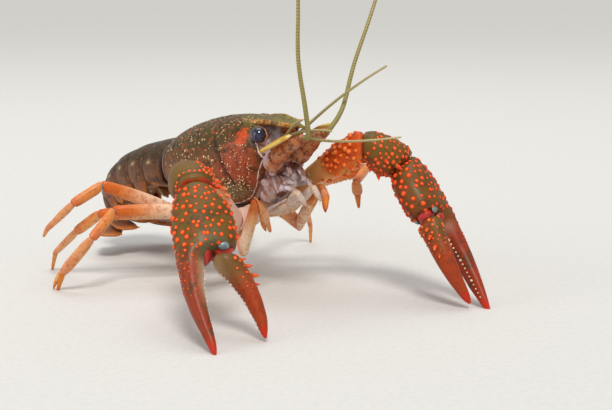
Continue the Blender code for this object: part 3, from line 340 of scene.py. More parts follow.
class Form:
    """A mesh in the making, in millimetres, with a painted layer for its finishes.

    The paint holds the share along the piece, how high a point stands on a knob or spine, the turn
    from the top to the underside, and how pale it is. A second layer holds dark seams and painted shade in grooves and
    creases.
    """

    def __init__(self, seed: int = 1) -> None:
        """Starts an empty mesh; seed fixes its small irregularities.

        Args:
            seed: Fixes its small irregularities.
        """
        self.mesh = bmesh.new()
        self.paint = self.mesh.verts.layers.float_color.new("paint")
        self.crease = self.mesh.verts.layers.float.new("crease")
        self.rng = random.Random(seed)
        self.studs: list[Stud] = []

    def sleeve(
        self, rings: Sequence[list[Vector]], shares: Sequence[float] | None = None, pale: float = 0, finish: int = 0,
        facing: float = 0
    ) -> list[BMVert]:
        """Rolls a grid round the rings, welds its seam and closes both ends.

        Args:
            rings: Rings of one count of points, from one end to the other.
            shares: The share along the piece of each ring; even where it is left out.
            pale: How pale the whole sleeve is.
            finish: The finish it wears, counted from 0.
            facing: How far its painted top is turned from the rings' second axis.

        Returns:
            The sleeve's vertices, ring by ring.
        """
        sides, count = len(rings[0]), len(rings)
        shares = shares or spread(0, 1, count)
        grid = bmesh.ops.create_grid(self.mesh, x_segments=sides, y_segments=count - 1, size=1)["verts"]
        kept, seam = [], {}
        for index, vert in enumerate(grid):
            row, column = divmod(index, sides + 1)
            vert.co = rings[row][column % sides]
            turn = tau * (column % sides) / sides
            vert[self.paint] = (shares[row], 0, 0.5 - 0.5 * sin(turn + facing), pale)
            if column == sides:
                seam[vert] = grid[index - sides]
            else:
                kept.append(vert)
        bmesh.ops.weld_verts(self.mesh, targetmap=seam)
        faces = {face for vert in kept for face in vert.link_faces}
        for ring in (kept[:sides], kept[-sides:]):
            rim = {edge for vert in ring for edge in vert.link_edges if edge.is_boundary}
            made = bmesh.ops.contextual_create(self.mesh, geom=list(rim))["faces"]
            faces.update(made)
        for face in faces:
            face.material_index = finish
        return kept

    def rod(
        self, points: Sequence[Vector], radii: Sequence[float], sides: int = 10, finish: int = 0, pale: float = 0
    ) -> list[BMVert]:
        """A round rod through the points, its rings carried along without twist.

        Args:
            points: The rod's middle line.
            radii: Its radius at each point.
            sides: Points round it.
            finish: The finish it wears, counted from 0.
            pale: How pale it is.

        Returns:
            Its vertices.
        """
        rings = []
        heading = (points[1] - points[0]).normalized()
        across = across_axis(heading, UPWARD if abs(heading.z) < 0.9 else SIDEWAYS)
        for index, (point, radius) in enumerate(zip(points, radii)):
            before = points[max(index - 1, 0)]
            after = points[min(index + 1, len(points) - 1)]
            heading = (after - before).normalized()
            across = across_axis(heading, across)
            rings.append(oval(point, across, heading.cross(across), radius, radius, sides))
        return self.sleeve(rings, None, pale, finish)

    def segment(
        self, start: Vector, end: Vector, widths: Rows, hint: Vector,
        normals: tuple[Vector | None, Vector | None] = (None, None), sides: int = 28, count: int = 26,
        squareness: float = 2.1, sag: Vector | None = None, pale: float = 0, rim: float = 0.12, facing: float = pi / 2
    ) -> list[BMVert]:
        """One jointed length of a limb, with rounded rims and slanted ends.

        Args:
            start: Middle of its near joint.
            end: Middle of its far joint.
            widths: Rows of share, half across and half deep.
            hint: Direction nearest to its width.
            normals: The planes of the near and far joints.
            sides: Points round it.
            count: Rings along it.
            squareness: How square its section is.
            sag: How far it bows.
            pale: How pale it is.
            rim: How far the ends are drawn in.
            facing: How far its painted top is turned from its depth.

        Returns:
            Its vertices.
        """
        length = (end - start).length
        along = (end - start) / length
        across = across_axis(along, hint)
        up = along.cross(across)
        first = normals[0] or along
        final = normals[1] or along
        profile = Profile(widths)
        bend = sag or Vector()
        rings, shares = [], []
        places = [0, 0.004, 0.015, 0.035, *spread(0.06, 0.94, count), 0.965, 0.985, 0.996, 1]
        for share in places:
            half_across, half_up = profile.at(share)
            near_end = min(share, 1 - share)
            scale = 1 - rim * (1 - ease(near_end, 0, 0.035)) ** 2
            middle = start + bend * (4 * share * (1 - share))
            ring = []
            for point in oval(middle, across, up, half_across * scale, half_up * scale, sides, squareness):
                offset = point - middle
                if share < 0.5:
                    slant = -offset.dot(first) / along.dot(first)
                    place = slant + share * (length - 2 * slant)
                else:
                    slant = -offset.dot(final) / along.dot(final)
                    place = length * share + slant * (2 * share - 1)
                ring.append(point + along * place)
            rings.append(ring)
            shares.append(share)
        return self.sleeve(rings, shares, pale, 0, facing)

    def ball(
        self, centre: Vector, radii: Row, turned: Matrix | None = None, finish: int = 0, around: int = 24,
        rows: int = 16, pale: float = 0
    ) -> list[BMVert]:
        """A ball or egg.

        Args:
            centre: Its middle.
            radii: Its three half sizes.
            turned: Which way it is turned.
            finish: The finish it wears, counted from 0.
            around: Faces round it.
            rows: Rows from pole to pole.
            pale: How pale it is.

        Returns:
            Its vertices.
        """
        place = Matrix.Translation(centre) @ (turned or Matrix.Identity(3)).to_4x4() @ Matrix.Diagonal((*radii, 1))
        made = bmesh.ops.create_uvsphere(self.mesh, u_segments=around, v_segments=rows, radius=1, matrix=place)
        for vert in made["verts"]:
            vert[self.paint] = (0.5, 0, 0.5, pale)
        for face in {face for vert in made["verts"] for face in vert.link_faces}:
            face.material_index = finish
        return made["verts"]

    def stud(
        self, place: Vector, heading: Vector, radius: float, height: float, kind: Raised, share: float = 0.5,
        pale: float = 0, finish: int = 0
    ) -> None:
        """One knob or spine with its root sunk in the shell.

        Args:
            place: Where it stands.
            heading: Which way it points.
            radius: Its radius at the shell.
            height: How far it stands out.
            kind: Whether it is round or pointed.
            share: The share along the piece painted on it.
            pale: How pale it is.
            finish: The finish it wears, counted from 0.
        """
        turn = heading.to_track_quat("Z", "Y").to_matrix().to_4x4()
        where = Matrix.Translation(place) @ turn @ Matrix.Diagonal((radius, radius, height, 1))
        self.studs.append(Stud(kind, where, share, pale, finish))

    def add_studs(self) -> None:
        """Puts a copy of its kind's shape at every stud."""
        for kind in Raised:
            placed = [stud for stud in self.studs if stud.kind is kind]
            if not placed:
                continue
            shape = kind.shape()
            shape.verts.index_update()
            corners = np.array([(*vert.co, 1) for vert in shape.verts])
            faces = [[vert.index for vert in face.verts] for face in shape.faces]
            shape.free()
            places = np.array([[list(row) for row in stud.where] for stud in placed])
            spots = np.einsum("sij,vj->svi", places, corners)[:, :, :3].reshape(-1, 3)
            count = len(corners)
            rows = [[i + count * step for i in face] for step in range(len(placed)) for face in faces]
            data = bpy.data.meshes.new("studs")
            data.from_pydata(spots.tolist(), [], rows)
            raised = np.clip(corners[:, 2] if kind is Raised.KNOB else (corners[:, 2] + 0.15) / 1.15, 0, 1)
            paint = np.zeros((len(placed), count, 4))
            paint[:, :, 0] = [[stud.share] for stud in placed]
            paint[:, :, 1] = raised
            paint[:, :, 2] = 0.3
            paint[:, :, 3] = [[stud.pale] for stud in placed]
            layer = data.attributes.new("paint", "FLOAT_COLOR", "POINT")
            layer.data.foreach_set("color", paint.ravel())
            data.attributes.new("crease", "FLOAT", "POINT")
            worn = np.repeat([stud.finish for stud in placed], len(faces))
            data.polygons.foreach_set("material_index", worn)
            self.mesh.from_mesh(data)
            bpy.data.meshes.remove(data)

    def vary(self, low: float, high: float) -> float:
        """A random value between low and high."""
        return self.rng.uniform(low, high)

    def tree(self) -> BVHTree:
        """The surface as it is now, for finding places on it."""
        return BVHTree.FromBMesh(self.mesh)

    def plant(
        self, tree: BVHTree, origin: Vector, outward: Vector, radius: float, height: float, kind: Raised = Raised.KNOB,
        lean: Vector | None = None, share: float = 0.5, pale: float = 0, finish: int = 0
    ) -> bool:
        """A knob or spine where a ray coming in towards origin meets the surface.

        Args:
            tree: The surface.
            origin: A point inside it.
            outward: From origin towards the place.
            radius: The stud's radius.
            height: Its height.
            kind: Whether it is round or pointed.
            lean: Added to the surface's normal to give its heading.
            share: The share along the piece painted on it.
            pale: How pale it is.
            finish: The finish it wears, counted from 0.

        Returns:
            Whether the ray met the surface.
        """
        way = outward.normalized()
        hit, normal, _, _ = tree.ray_cast(origin + way * 30, -way, 30)
        if hit is None:
            return False
        if normal.dot(way) < 0:
            normal = -normal
        heading = (normal + lean) if lean else normal
        self.stud(hit, heading.normalized(), radius, height, kind, share, pale, finish)
        return True

    def studs_round(
        self, tree: BVHTree, start: Vector, along: Vector, across: Vector, rows: Sequence[float], apart: float,
        size: Callable[[float, float], tuple[float, float]], length: float, girth: float,
        arc: tuple[float, float] = (0, tau), kind: Raised = Raised.KNOB, lean: float = 0.2
    ) -> None:
        """Rows of studs round an axis, jittered, every other row turned by half a step.

        Args:
            tree: The surface.
            start: Where the axis starts.
            along: The axis.
            across: Where the turn starts.
            rows: Distances along the axis.
            apart: Distance between two studs of a row.
            size: Radius and height for a distance and a turn; nothing is planted at radius 0.
            length: What the distances are shares of.
            girth: The radius that the row's distance is measured at.
            arc: The turns between which studs stand.
            kind: Whether they are round or pointed.
            lean: How far they lean along the axis.
        """
        up = along.cross(across)
        for index, distance in enumerate(rows):
            count = max(1, round(girth * (arc[1] - arc[0]) / apart))
            for step in range(count):
                share = (step + 0.5 * (index % 2) + self.vary(-0.3, 0.3)) / count
                turn = arc[0] + (arc[1] - arc[0]) * share
                outward = across * cos(turn) + up * sin(turn)
                radius, height = size(distance, turn)
                if radius <= 0:
                    continue
                grown = self.vary(0.72, 1.22)
                spot = start + along * (distance + self.vary(-0.35, 0.35) * apart)
                self.plant(tree, spot, outward, radius * grown, height * grown, kind, along * lean, distance / length)

    def blade(self, outline: Rows, thickness: float, frame: Matrix, dish: float = 0, finish: int = 0) -> None:
        """A flat blade with a smooth outline and a thin rounded edge.

        Args:
            outline: Corners of its outline, across and along.
            thickness: Its thickness.
            frame: Its own X across, Y along and Z through the thickness.
            dish: How far its middle is raised.
            finish: The finish it wears, counted from 0.
        """
        corners = [Vector((x, y, 0)) for x, y in outline]
        around = smooth_path([*corners, corners[0]], 5)[:-1]
        middle = sum(corners, Vector()) / len(corners)
        longest = max(p.y for p in around)
        rings, layers = [], []
        for level, scale in (
            (-0.42, 0.03), (-0.46, 0.35), (-0.48, 0.68), (-0.44, 0.9), (-0.28, 0.98), (0, 1), (0.28, 0.98),
            (0.44, 0.9), (0.48, 0.68), (0.46, 0.35), (0.42, 0.03)
        ):
            ring = []
            for point in around:
                flat = middle + (point - middle) * scale
                lift = level * thickness + dish * (1 - scale * scale)
                ring.append(frame @ Vector((flat.x, flat.y, lift)))
            rings.append(ring)
            layers.append(scale)
        verts = self.sleeve(rings, None, 0, finish)
        back = frame.inverted()
        for index, vert in enumerate(verts):
            local = back @ vert.co
            vert[self.paint] = (local.y / longest, 0, 0.25, max(0, layers[index // len(around)] - 0.8) * 3)

    def fade(self, vert: BMVert, pale: float) -> None:
        """Makes a vertex that pale and keeps its share and turn."""
        share, _, turn, _ = vert[self.paint]
        vert[self.paint] = (share, 0, turn, pale)

    def roughen(self, size: float, scale: float) -> None:
        """A slight unevenness, so that no two pieces are alike.

        Args:
            size: How far a point moves at most.
            scale: How many bulges there are to a millimetre.
        """
        for vert in self.mesh.verts:
            vert.co += noise.noise_vector(vert.co * scale) * size

    def done(self, name: str, finishes: Sequence[Material], solid: str, on_body: bool = False) -> None:
        """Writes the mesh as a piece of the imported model.

        Args:
            name: The piece's name.
            finishes: Its materials, in the order that its faces count them.
            solid: The solid that it stands for.
            on_body: Whether it was made in the body's frame.
        """
        self.add_studs()
        place = Matrix.Scale(MM, 4) @ Matrix.Translation(-Vector(CARRIAGE.packed))
        place = place @ (CARRIAGE.matrix() if on_body else Matrix.Identity(4))
        bmesh.ops.transform(self.mesh, matrix=place, verts=self.mesh.verts)
        for vert in self.mesh.verts:
            vert.co.z = max(vert.co.z, 0)
        bmesh.ops.recalc_face_normals(self.mesh, faces=self.mesh.faces)
        data = bpy.data.meshes.new(name)
        self.mesh.to_mesh(data)
        self.mesh.free()
        for finish in finishes:
            data.materials.append(finish)
        data.polygons.foreach_set("use_smooth", [True] * len(data.polygons))
        piece = enter(name, data)
        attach(piece, "root")
        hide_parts(solid)
        LOG.info("%s: %d faces", name, len(data.polygons))


# Finishes


class Ink:
    """A shader socket that takes part in sums; each sum adds its Math node."""

    def __init__(self, shader: Shader, socket: NodeSocket) -> None:
        """Holds the socket and the shader that it belongs to."""
        self.shader = shader
        self.socket = socket

    def _sum(self, kind: str, first: Ink | float, second: Ink | float) -> Ink:
        """One Math node on two values."""
        return self.shader.node("ShaderNodeMath", {"operation": kind}, {0: first, 1: second})

    def __add__(self, other: Ink | float) -> Ink:
        """Self plus other."""
        return self._sum("ADD", self, other)

    def __radd__(self, other: float) -> Ink:
        """Other plus self."""
        return self._sum("ADD", other, self)

    def __sub__(self, other: Ink | float) -> Ink:
        """Self minus other."""
        return self._sum("SUBTRACT", self, other)

    def __rsub__(self, other: float) -> Ink:
        """Other minus self."""
        return self._sum("SUBTRACT", other, self)

    def __mul__(self, other: Ink | float) -> Ink:
        """Self times other."""
        return self._sum("MULTIPLY", self, other)

    def __rmul__(self, other: float) -> Ink:
        """Other times self."""
        return self._sum("MULTIPLY", other, self)


Value = Ink | float | Tint


class Shader:
    """A material's nodes, written as expressions."""

    def __init__(self, name: str) -> None:
        """Starts a material that holds only its Principled shader and output.

        Args:
            name: The material's name.
        """
        self.material = bpy.data.materials.new(name)
        self.material.use_nodes = True
        self.tree = self.material.node_tree
        self.surface = self.tree.nodes["Principled BSDF"]

    def node(self, kind: str, settings: dict[str, object], values: dict[int | str, Value], out: int | str = 0) -> Ink:
        """Adds any node.

        Args:
            kind: Its type.
            settings: Its properties, set first.
            values: The values or links of its sockets.
            out: Which output is taken.

        Returns:
            The output as an Ink.
        """
        made = self.tree.nodes.new(kind)
        for key, value in settings.items():
            setattr(made, key, value)
        for key, value in values.items():
            self.feed(made.inputs[key], value)
        return Ink(self, made.outputs[out])

    def feed(self, socket: NodeSocket, value: Value) -> None:
        """Links or sets one socket.

        Args:
            socket: The socket.
            value: An ink, a number, a colour or a row of numbers.
        """
        if isinstance(value, Ink):
            self.tree.links.new(value.socket, socket)
        elif isinstance(value, str):
            socket.default_value = (*linear(value), 1)
        else:
            socket.default_value = value

    def blend(self, first: Ink | Tint, second: Ink | Tint, share: Ink | float) -> Ink:
        """A mix of two colours."""
        return self.node(
            "ShaderNodeMix", {"data_type": "RGBA", "clamp_factor": True}, {0: share, 6: first, 7: second}, 2
        )

    def step(self, value: Ink, low: float, high: float) -> Ink:
        """A soft step from 0 at low to 1 at high."""
        return self.node(
            "ShaderNodeMapRange", {"interpolation_type": "SMOOTHSTEP", "clamp": True},
            {0: value, 1: low, 2: high, 3: 0, 4: 1}
        )

    def place(self) -> Ink:
        """Where a point lies in the model, in metres."""
        return self.node("ShaderNodeTexCoord", {}, {}, "Object")

    def clouds(
        self, scale: float, detail: float = 3, roughness: float = 0.55, warp: float = 0, stretch: Row = ()
    ) -> Ink:
        """Soft noise.

        Args:
            scale: Cells to a metre.
            detail: How many finer layers it has.
            roughness: How strong the finer layers are.
            warp: How far it is distorted.
            stretch: How much finer it is along each axis, where that differs.

        Returns:
            A value around a half.
        """
        place = self.place()
        if stretch:
            place = self.node("ShaderNodeMapping", {}, {"Vector": place, "Scale": stretch})
        sockets = {"Vector": place, "Scale": scale, "Detail": detail, "Roughness": roughness}
        return self.node("ShaderNodeTexNoise", {}, {**sockets, "Distortion": warp}, "Fac")

    def cells(self, scale: float) -> Ink:
        """Distance to the middle of the nearest cell, for freckles and pits."""
        return self.node("ShaderNodeTexVoronoi", {}, {"Vector": self.place(), "Scale": scale}, "Distance")

    def paint(self) -> tuple[Ink, Ink, Ink, Ink]:
        """The painted layer: share along, height on a stud, turn from the top, paleness.

        Returns:
            The four inks.
        """
        made = self.tree.nodes.new("ShaderNodeAttribute")
        made.attribute_name = "paint"
        split = self.tree.nodes.new("ShaderNodeSeparateColor")
        self.tree.links.new(made.outputs["Color"], split.inputs[0])
        along, raised, turn = (Ink(self, split.outputs[i]) for i in range(3))
        return along, raised, turn, Ink(self, made.outputs["Alpha"])

    def crease(self) -> Ink:
        """The painted dark seams and painted shade of grooves and creases."""
        return self.node("ShaderNodeAttribute", {"attribute_name": "crease"}, {}, "Fac")

    def near(self, centre: Vector, radius: float, soft: float = 0.6, ragged: Ink | None = None) -> Ink:
        """How near a point is to a place of the model: 1 inside, 0 beyond the radius.

        Args:
            centre: The place.
            radius: How far it reaches.
            soft: The share of the radius over which it fades.
            ragged: Noise that frays its edge.

        Returns:
            The nearness.
        """
        away = self.node("ShaderNodeVectorMath", {"operation": "DISTANCE"}, {0: self.place(), 1: tuple(centre)}, 1)
        if ragged is not None:
            away = away + (ragged - 0.5) * (radius * 3.2)
        return 1 - self.step(away, radius * (1 - soft), radius)

    def relief(self, height: Ink, strength: float, distance: float) -> Ink:
        """A bump from a height."""
        return self.node("ShaderNodeBump", {}, {"Strength": strength, "Distance": distance, "Height": height})

    def dress(self, colour: Value, rough: Value, bump: Ink | None = None) -> None:
        """Feeds the shader's colour, roughness and bump.

        Args:
            colour: Its base colour.
            rough: Its roughness.
            bump: Its relief, where it has one.
        """
        for name, value in (("Base Color", colour), ("Roughness", rough), ("Normal", bump)):
            if value is not None:
                self.feed(self.surface.inputs[name], value)

    def fixed(self, **values: float) -> None:
        """Sets the shader's own sockets, by name with spaces for underscores."""
        for key, value in values.items():
            self.surface.inputs[key.replace("_", " ")].default_value = value


@dataclass(frozen=True)
class Patch:
    """A patch of colour at one place of the model, in millimetres of the carriage."""

    centre: Row
    radius: float
    colour: Tint
    strength: float = 1
    on_body: bool = True

    def middle(self) -> Vector:
        """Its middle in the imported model, in metres."""
        place = CARRIAGE.stand(*self.centre) if self.on_body else Vector(self.centre)
        return (place - Vector(CARRIAGE.packed)) * MM


@dataclass(frozen=True)
class Crust:
    """The shell of a crayfish: mottled, freckled, with studs of their own colour."""

    name: str
    back: Tint
    flank: Tint
    belly: Tint
    knob: Tint = "C85A2D"
    knob_tip: Tint = "E28C5A"
    # Colours further along, and between which shares of the piece they come in.
    far: Spots = ("962819", 2, 3)
    tip: tuple[Tint, float] = ("BE3C28", 2)
    pale: Tint = "E2C8B4"
    # Colour of the dark seams and of the painted shade in grooves and creases.
    crease_tint: Tint = "281C14"
    # Colour, cells to a metre, and strength of each kind of spot.
    blotch: Spots = ("46321E", 320, 0.5)
    freckle: Spots = ("A6461C", 1500, 0.35)
    fleck: Spots = ("CDB996", 2600, 0)
    streak: Spots = ("3C2216", 900, 0)
    # Between which turns from the top flank and belly come in.
    flank_run: Row = (0.22, 0.55)
    belly_run: Row = (0.66, 0.92)
    roughness: float = 0.34
    coat: float = 0.2
    grain: float = 0.35
    grain_scale: float = 2400
    glow: float = 0
    # Whether blotches and freckles also lie on the pale parts.
    pale_below: bool = False
    patches: tuple[Patch, ...] = ()

    def build(self) -> Material:
        """The material.

        Returns:
            The material.
        """
        s = Shader(self.name)
        along, raised, turn, pale = s.paint()
        blotch, blotch_scale, blotch_share = self.blotch
        freckle, freckle_scale, freckle_share = self.freckle
        fleck, fleck_scale, fleck_share = self.fleck
        streak_tint, streak_scale, streak_share = self.streak
        wide = s.clouds(blotch_scale, 4, 0.6, 0.4)
        fine = s.clouds(freckle_scale, 2, 0.6)
        grain = s.clouds(self.grain_scale, 3, 0.65)
        sway = (wide - 0.5) * 0.35
        colour = s.blend(self.back, self.flank, s.step(turn + sway, *self.flank_run))
        colour = s.blend(colour, self.belly, s.step(turn + sway, *self.belly_run))
        colour = s.blend(colour, self.far[0], s.step(along + sway, *self.far[1:]))
        if self.pale_below:
            colour = s.blend(colour, self.pale, pale)
        colour = s.blend(colour, blotch, s.step(wide, 0.48, 0.66) * blotch_share)
        colour = s.blend(colour, freckle, s.step(fine, 0.52, 0.64) * freckle_share)
        for patch in self.patches:
            mask = s.near(patch.middle(), patch.radius * MM, 0.35, (wide + fine) * 0.5) * patch.strength
            colour = s.blend(colour, patch.colour, mask)
        if streak_share > 0:
            streak = s.clouds(streak_scale, 2, 0.6, 0.2, (0.5, 2.4, 0.35))
            seen = s.step(streak, 0.5, 0.68) * streak_share * s.step(along, 0.6, 0.75)
            colour = s.blend(colour, streak_tint, seen)
        if fleck_share > 0:
            seen = (1 - s.step(s.cells(fleck_scale), 0.12, 0.3)) * s.step(fine, 0.44, 0.56)
            colour = s.blend(colour, fleck, seen * fleck_share)
        colour = s.blend(colour, self.tip[0], s.step(along, self.tip[1], self.tip[1] + 0.1))
        if not self.pale_below:
            colour = s.blend(colour, self.pale, pale)
        # Dark seams and painted shade in grooves and creases.
        crease = s.crease()
        colour = s.blend(colour, self.crease_tint, crease)
        knob = s.blend(self.knob, self.knob_tip, s.step(fine, 0.44, 0.6) * 0.55)
        colour = s.blend(colour, knob, s.step(raised, 0.02, 0.45))
        colour = s.blend(colour, self.knob_tip, s.step(raised, 0.62, 0.98))
        rough = self.roughness + (grain - 0.5) * 0.3 + crease * 0.2
        pits = s.cells(self.grain_scale * 0.55)
        height = grain * 0.6 + s.step(pits, 0, 0.35) * 0.4
        s.dress(colour, rough, s.relief(height, self.grain, 0.00012))
        s.fixed(Coat_Weight=self.coat * 0.5, Coat_Roughness=0.16, IOR=1.5, Specular_IOR_Level=0.22)
        if self.glow > 0:
            s.fixed(Subsurface_Weight=self.glow, Subsurface_Scale=0.0012)
            s.surface.inputs["Subsurface Radius"].default_value = (1, 0.45, 0.25)
        return s.material


@dataclass(frozen=True)
class EyeGloss:
    """The dark wet facetted cornea."""

    name: str = "eye_gloss"
    dark: Tint = "10101E"
    bloom: Tint = "30325C"

    def build(self) -> Material:
        """The material.

        Returns:
            The material.
        """
        s = Shader(self.name)
        cloud = s.clouds(420, 2)
        facets = s.cells(5200)
        colour = s.blend(self.dark, self.bloom, s.step(cloud, 0.42, 0.62) * 0.6)
        s.dress(colour, 0.1 + cloud * 0.1, s.relief(facets, 0.08, 0.00003))
        s.fixed(Coat_Weight=0.8, Coat_Roughness=0.04, IOR=1.45)
        return s.material


@dataclass(frozen=True)
class Ringed:
    """A feeler's finish, banded by its many short joints."""

    name: str
    light: Tint
    dark: Tint
    tip: Tint
    rings: float = 130

    def build(self) -> Material:
        """The material.

        Returns:
            The material.
        """
        s = Shader(self.name)
        along, _, turn, _ = s.paint()
        band = s.node("ShaderNodeMath", {"operation": "PINGPONG"}, {0: along * self.rings, 1: 0.5}) * 2
        cloud = s.clouds(240, 3)
        colour = s.blend(self.light, self.dark, s.step(band, 0.55, 0.95) * 0.75)
        colour = s.blend(colour, self.dark, s.step(turn + (cloud - 0.5), 0.5, 0.95) * 0.5)
        colour = s.blend(colour, self.tip, s.step(along, 0.3, 1) * 0.6)
        s.dress(colour, 0.32 + cloud * 0.2, s.relief(1 - band, 0.3, 0.00006))
        s.fixed(Coat_Weight=0.25, Coat_Roughness=0.2)
        return s.material


@dataclass(frozen=True)
class Skin:
    """Soft skin between shell plates, or soft mouth parts."""

    name: str
    light: Tint
    dark: Tint
    roughness: float = 0.4

    def build(self) -> Material:
        """The material.

        Returns:
            The material.
        """
        s = Shader(self.name)
        cloud = s.clouds(700, 4, 0.6, 0.6)
        fold = s.clouds(2600, 2)
        colour = s.blend(self.light, self.dark, s.step(cloud, 0.4, 0.66))
        s.dress(colour, self.roughness + (fold - 0.5) * 0.3, s.relief(fold, 0.4, 0.0001))
        s.fixed(Coat_Weight=0.3, Coat_Roughness=0.2, Subsurface_Weight=0.15, Subsurface_Scale=0.001)
        return s.material


@dataclass(frozen=True)
class Paper:
    """The pale matt floor."""

    name: str = "studio_floor"
    light: Tint = "D8D6D1"
    dark: Tint = "D4D2CD"

    def build(self) -> Material:
        """The material.

        Returns:
            The material.
        """
        s = Shader(self.name)
        tooth = s.clouds(700, 3)
        s.dress(s.blend(self.light, self.dark, s.step(tooth, 0.35, 0.65)), 0.85)
        return s.material


def both(centre: Row, radius: float, colour: Tint, strength: float) -> tuple[Patch, Patch]:
    """The same patch on the right and on the left."""
    forward, left, up = centre
    return Patch((forward, -left, up), radius, colour, strength), Patch(centre, radius, colour, strength)


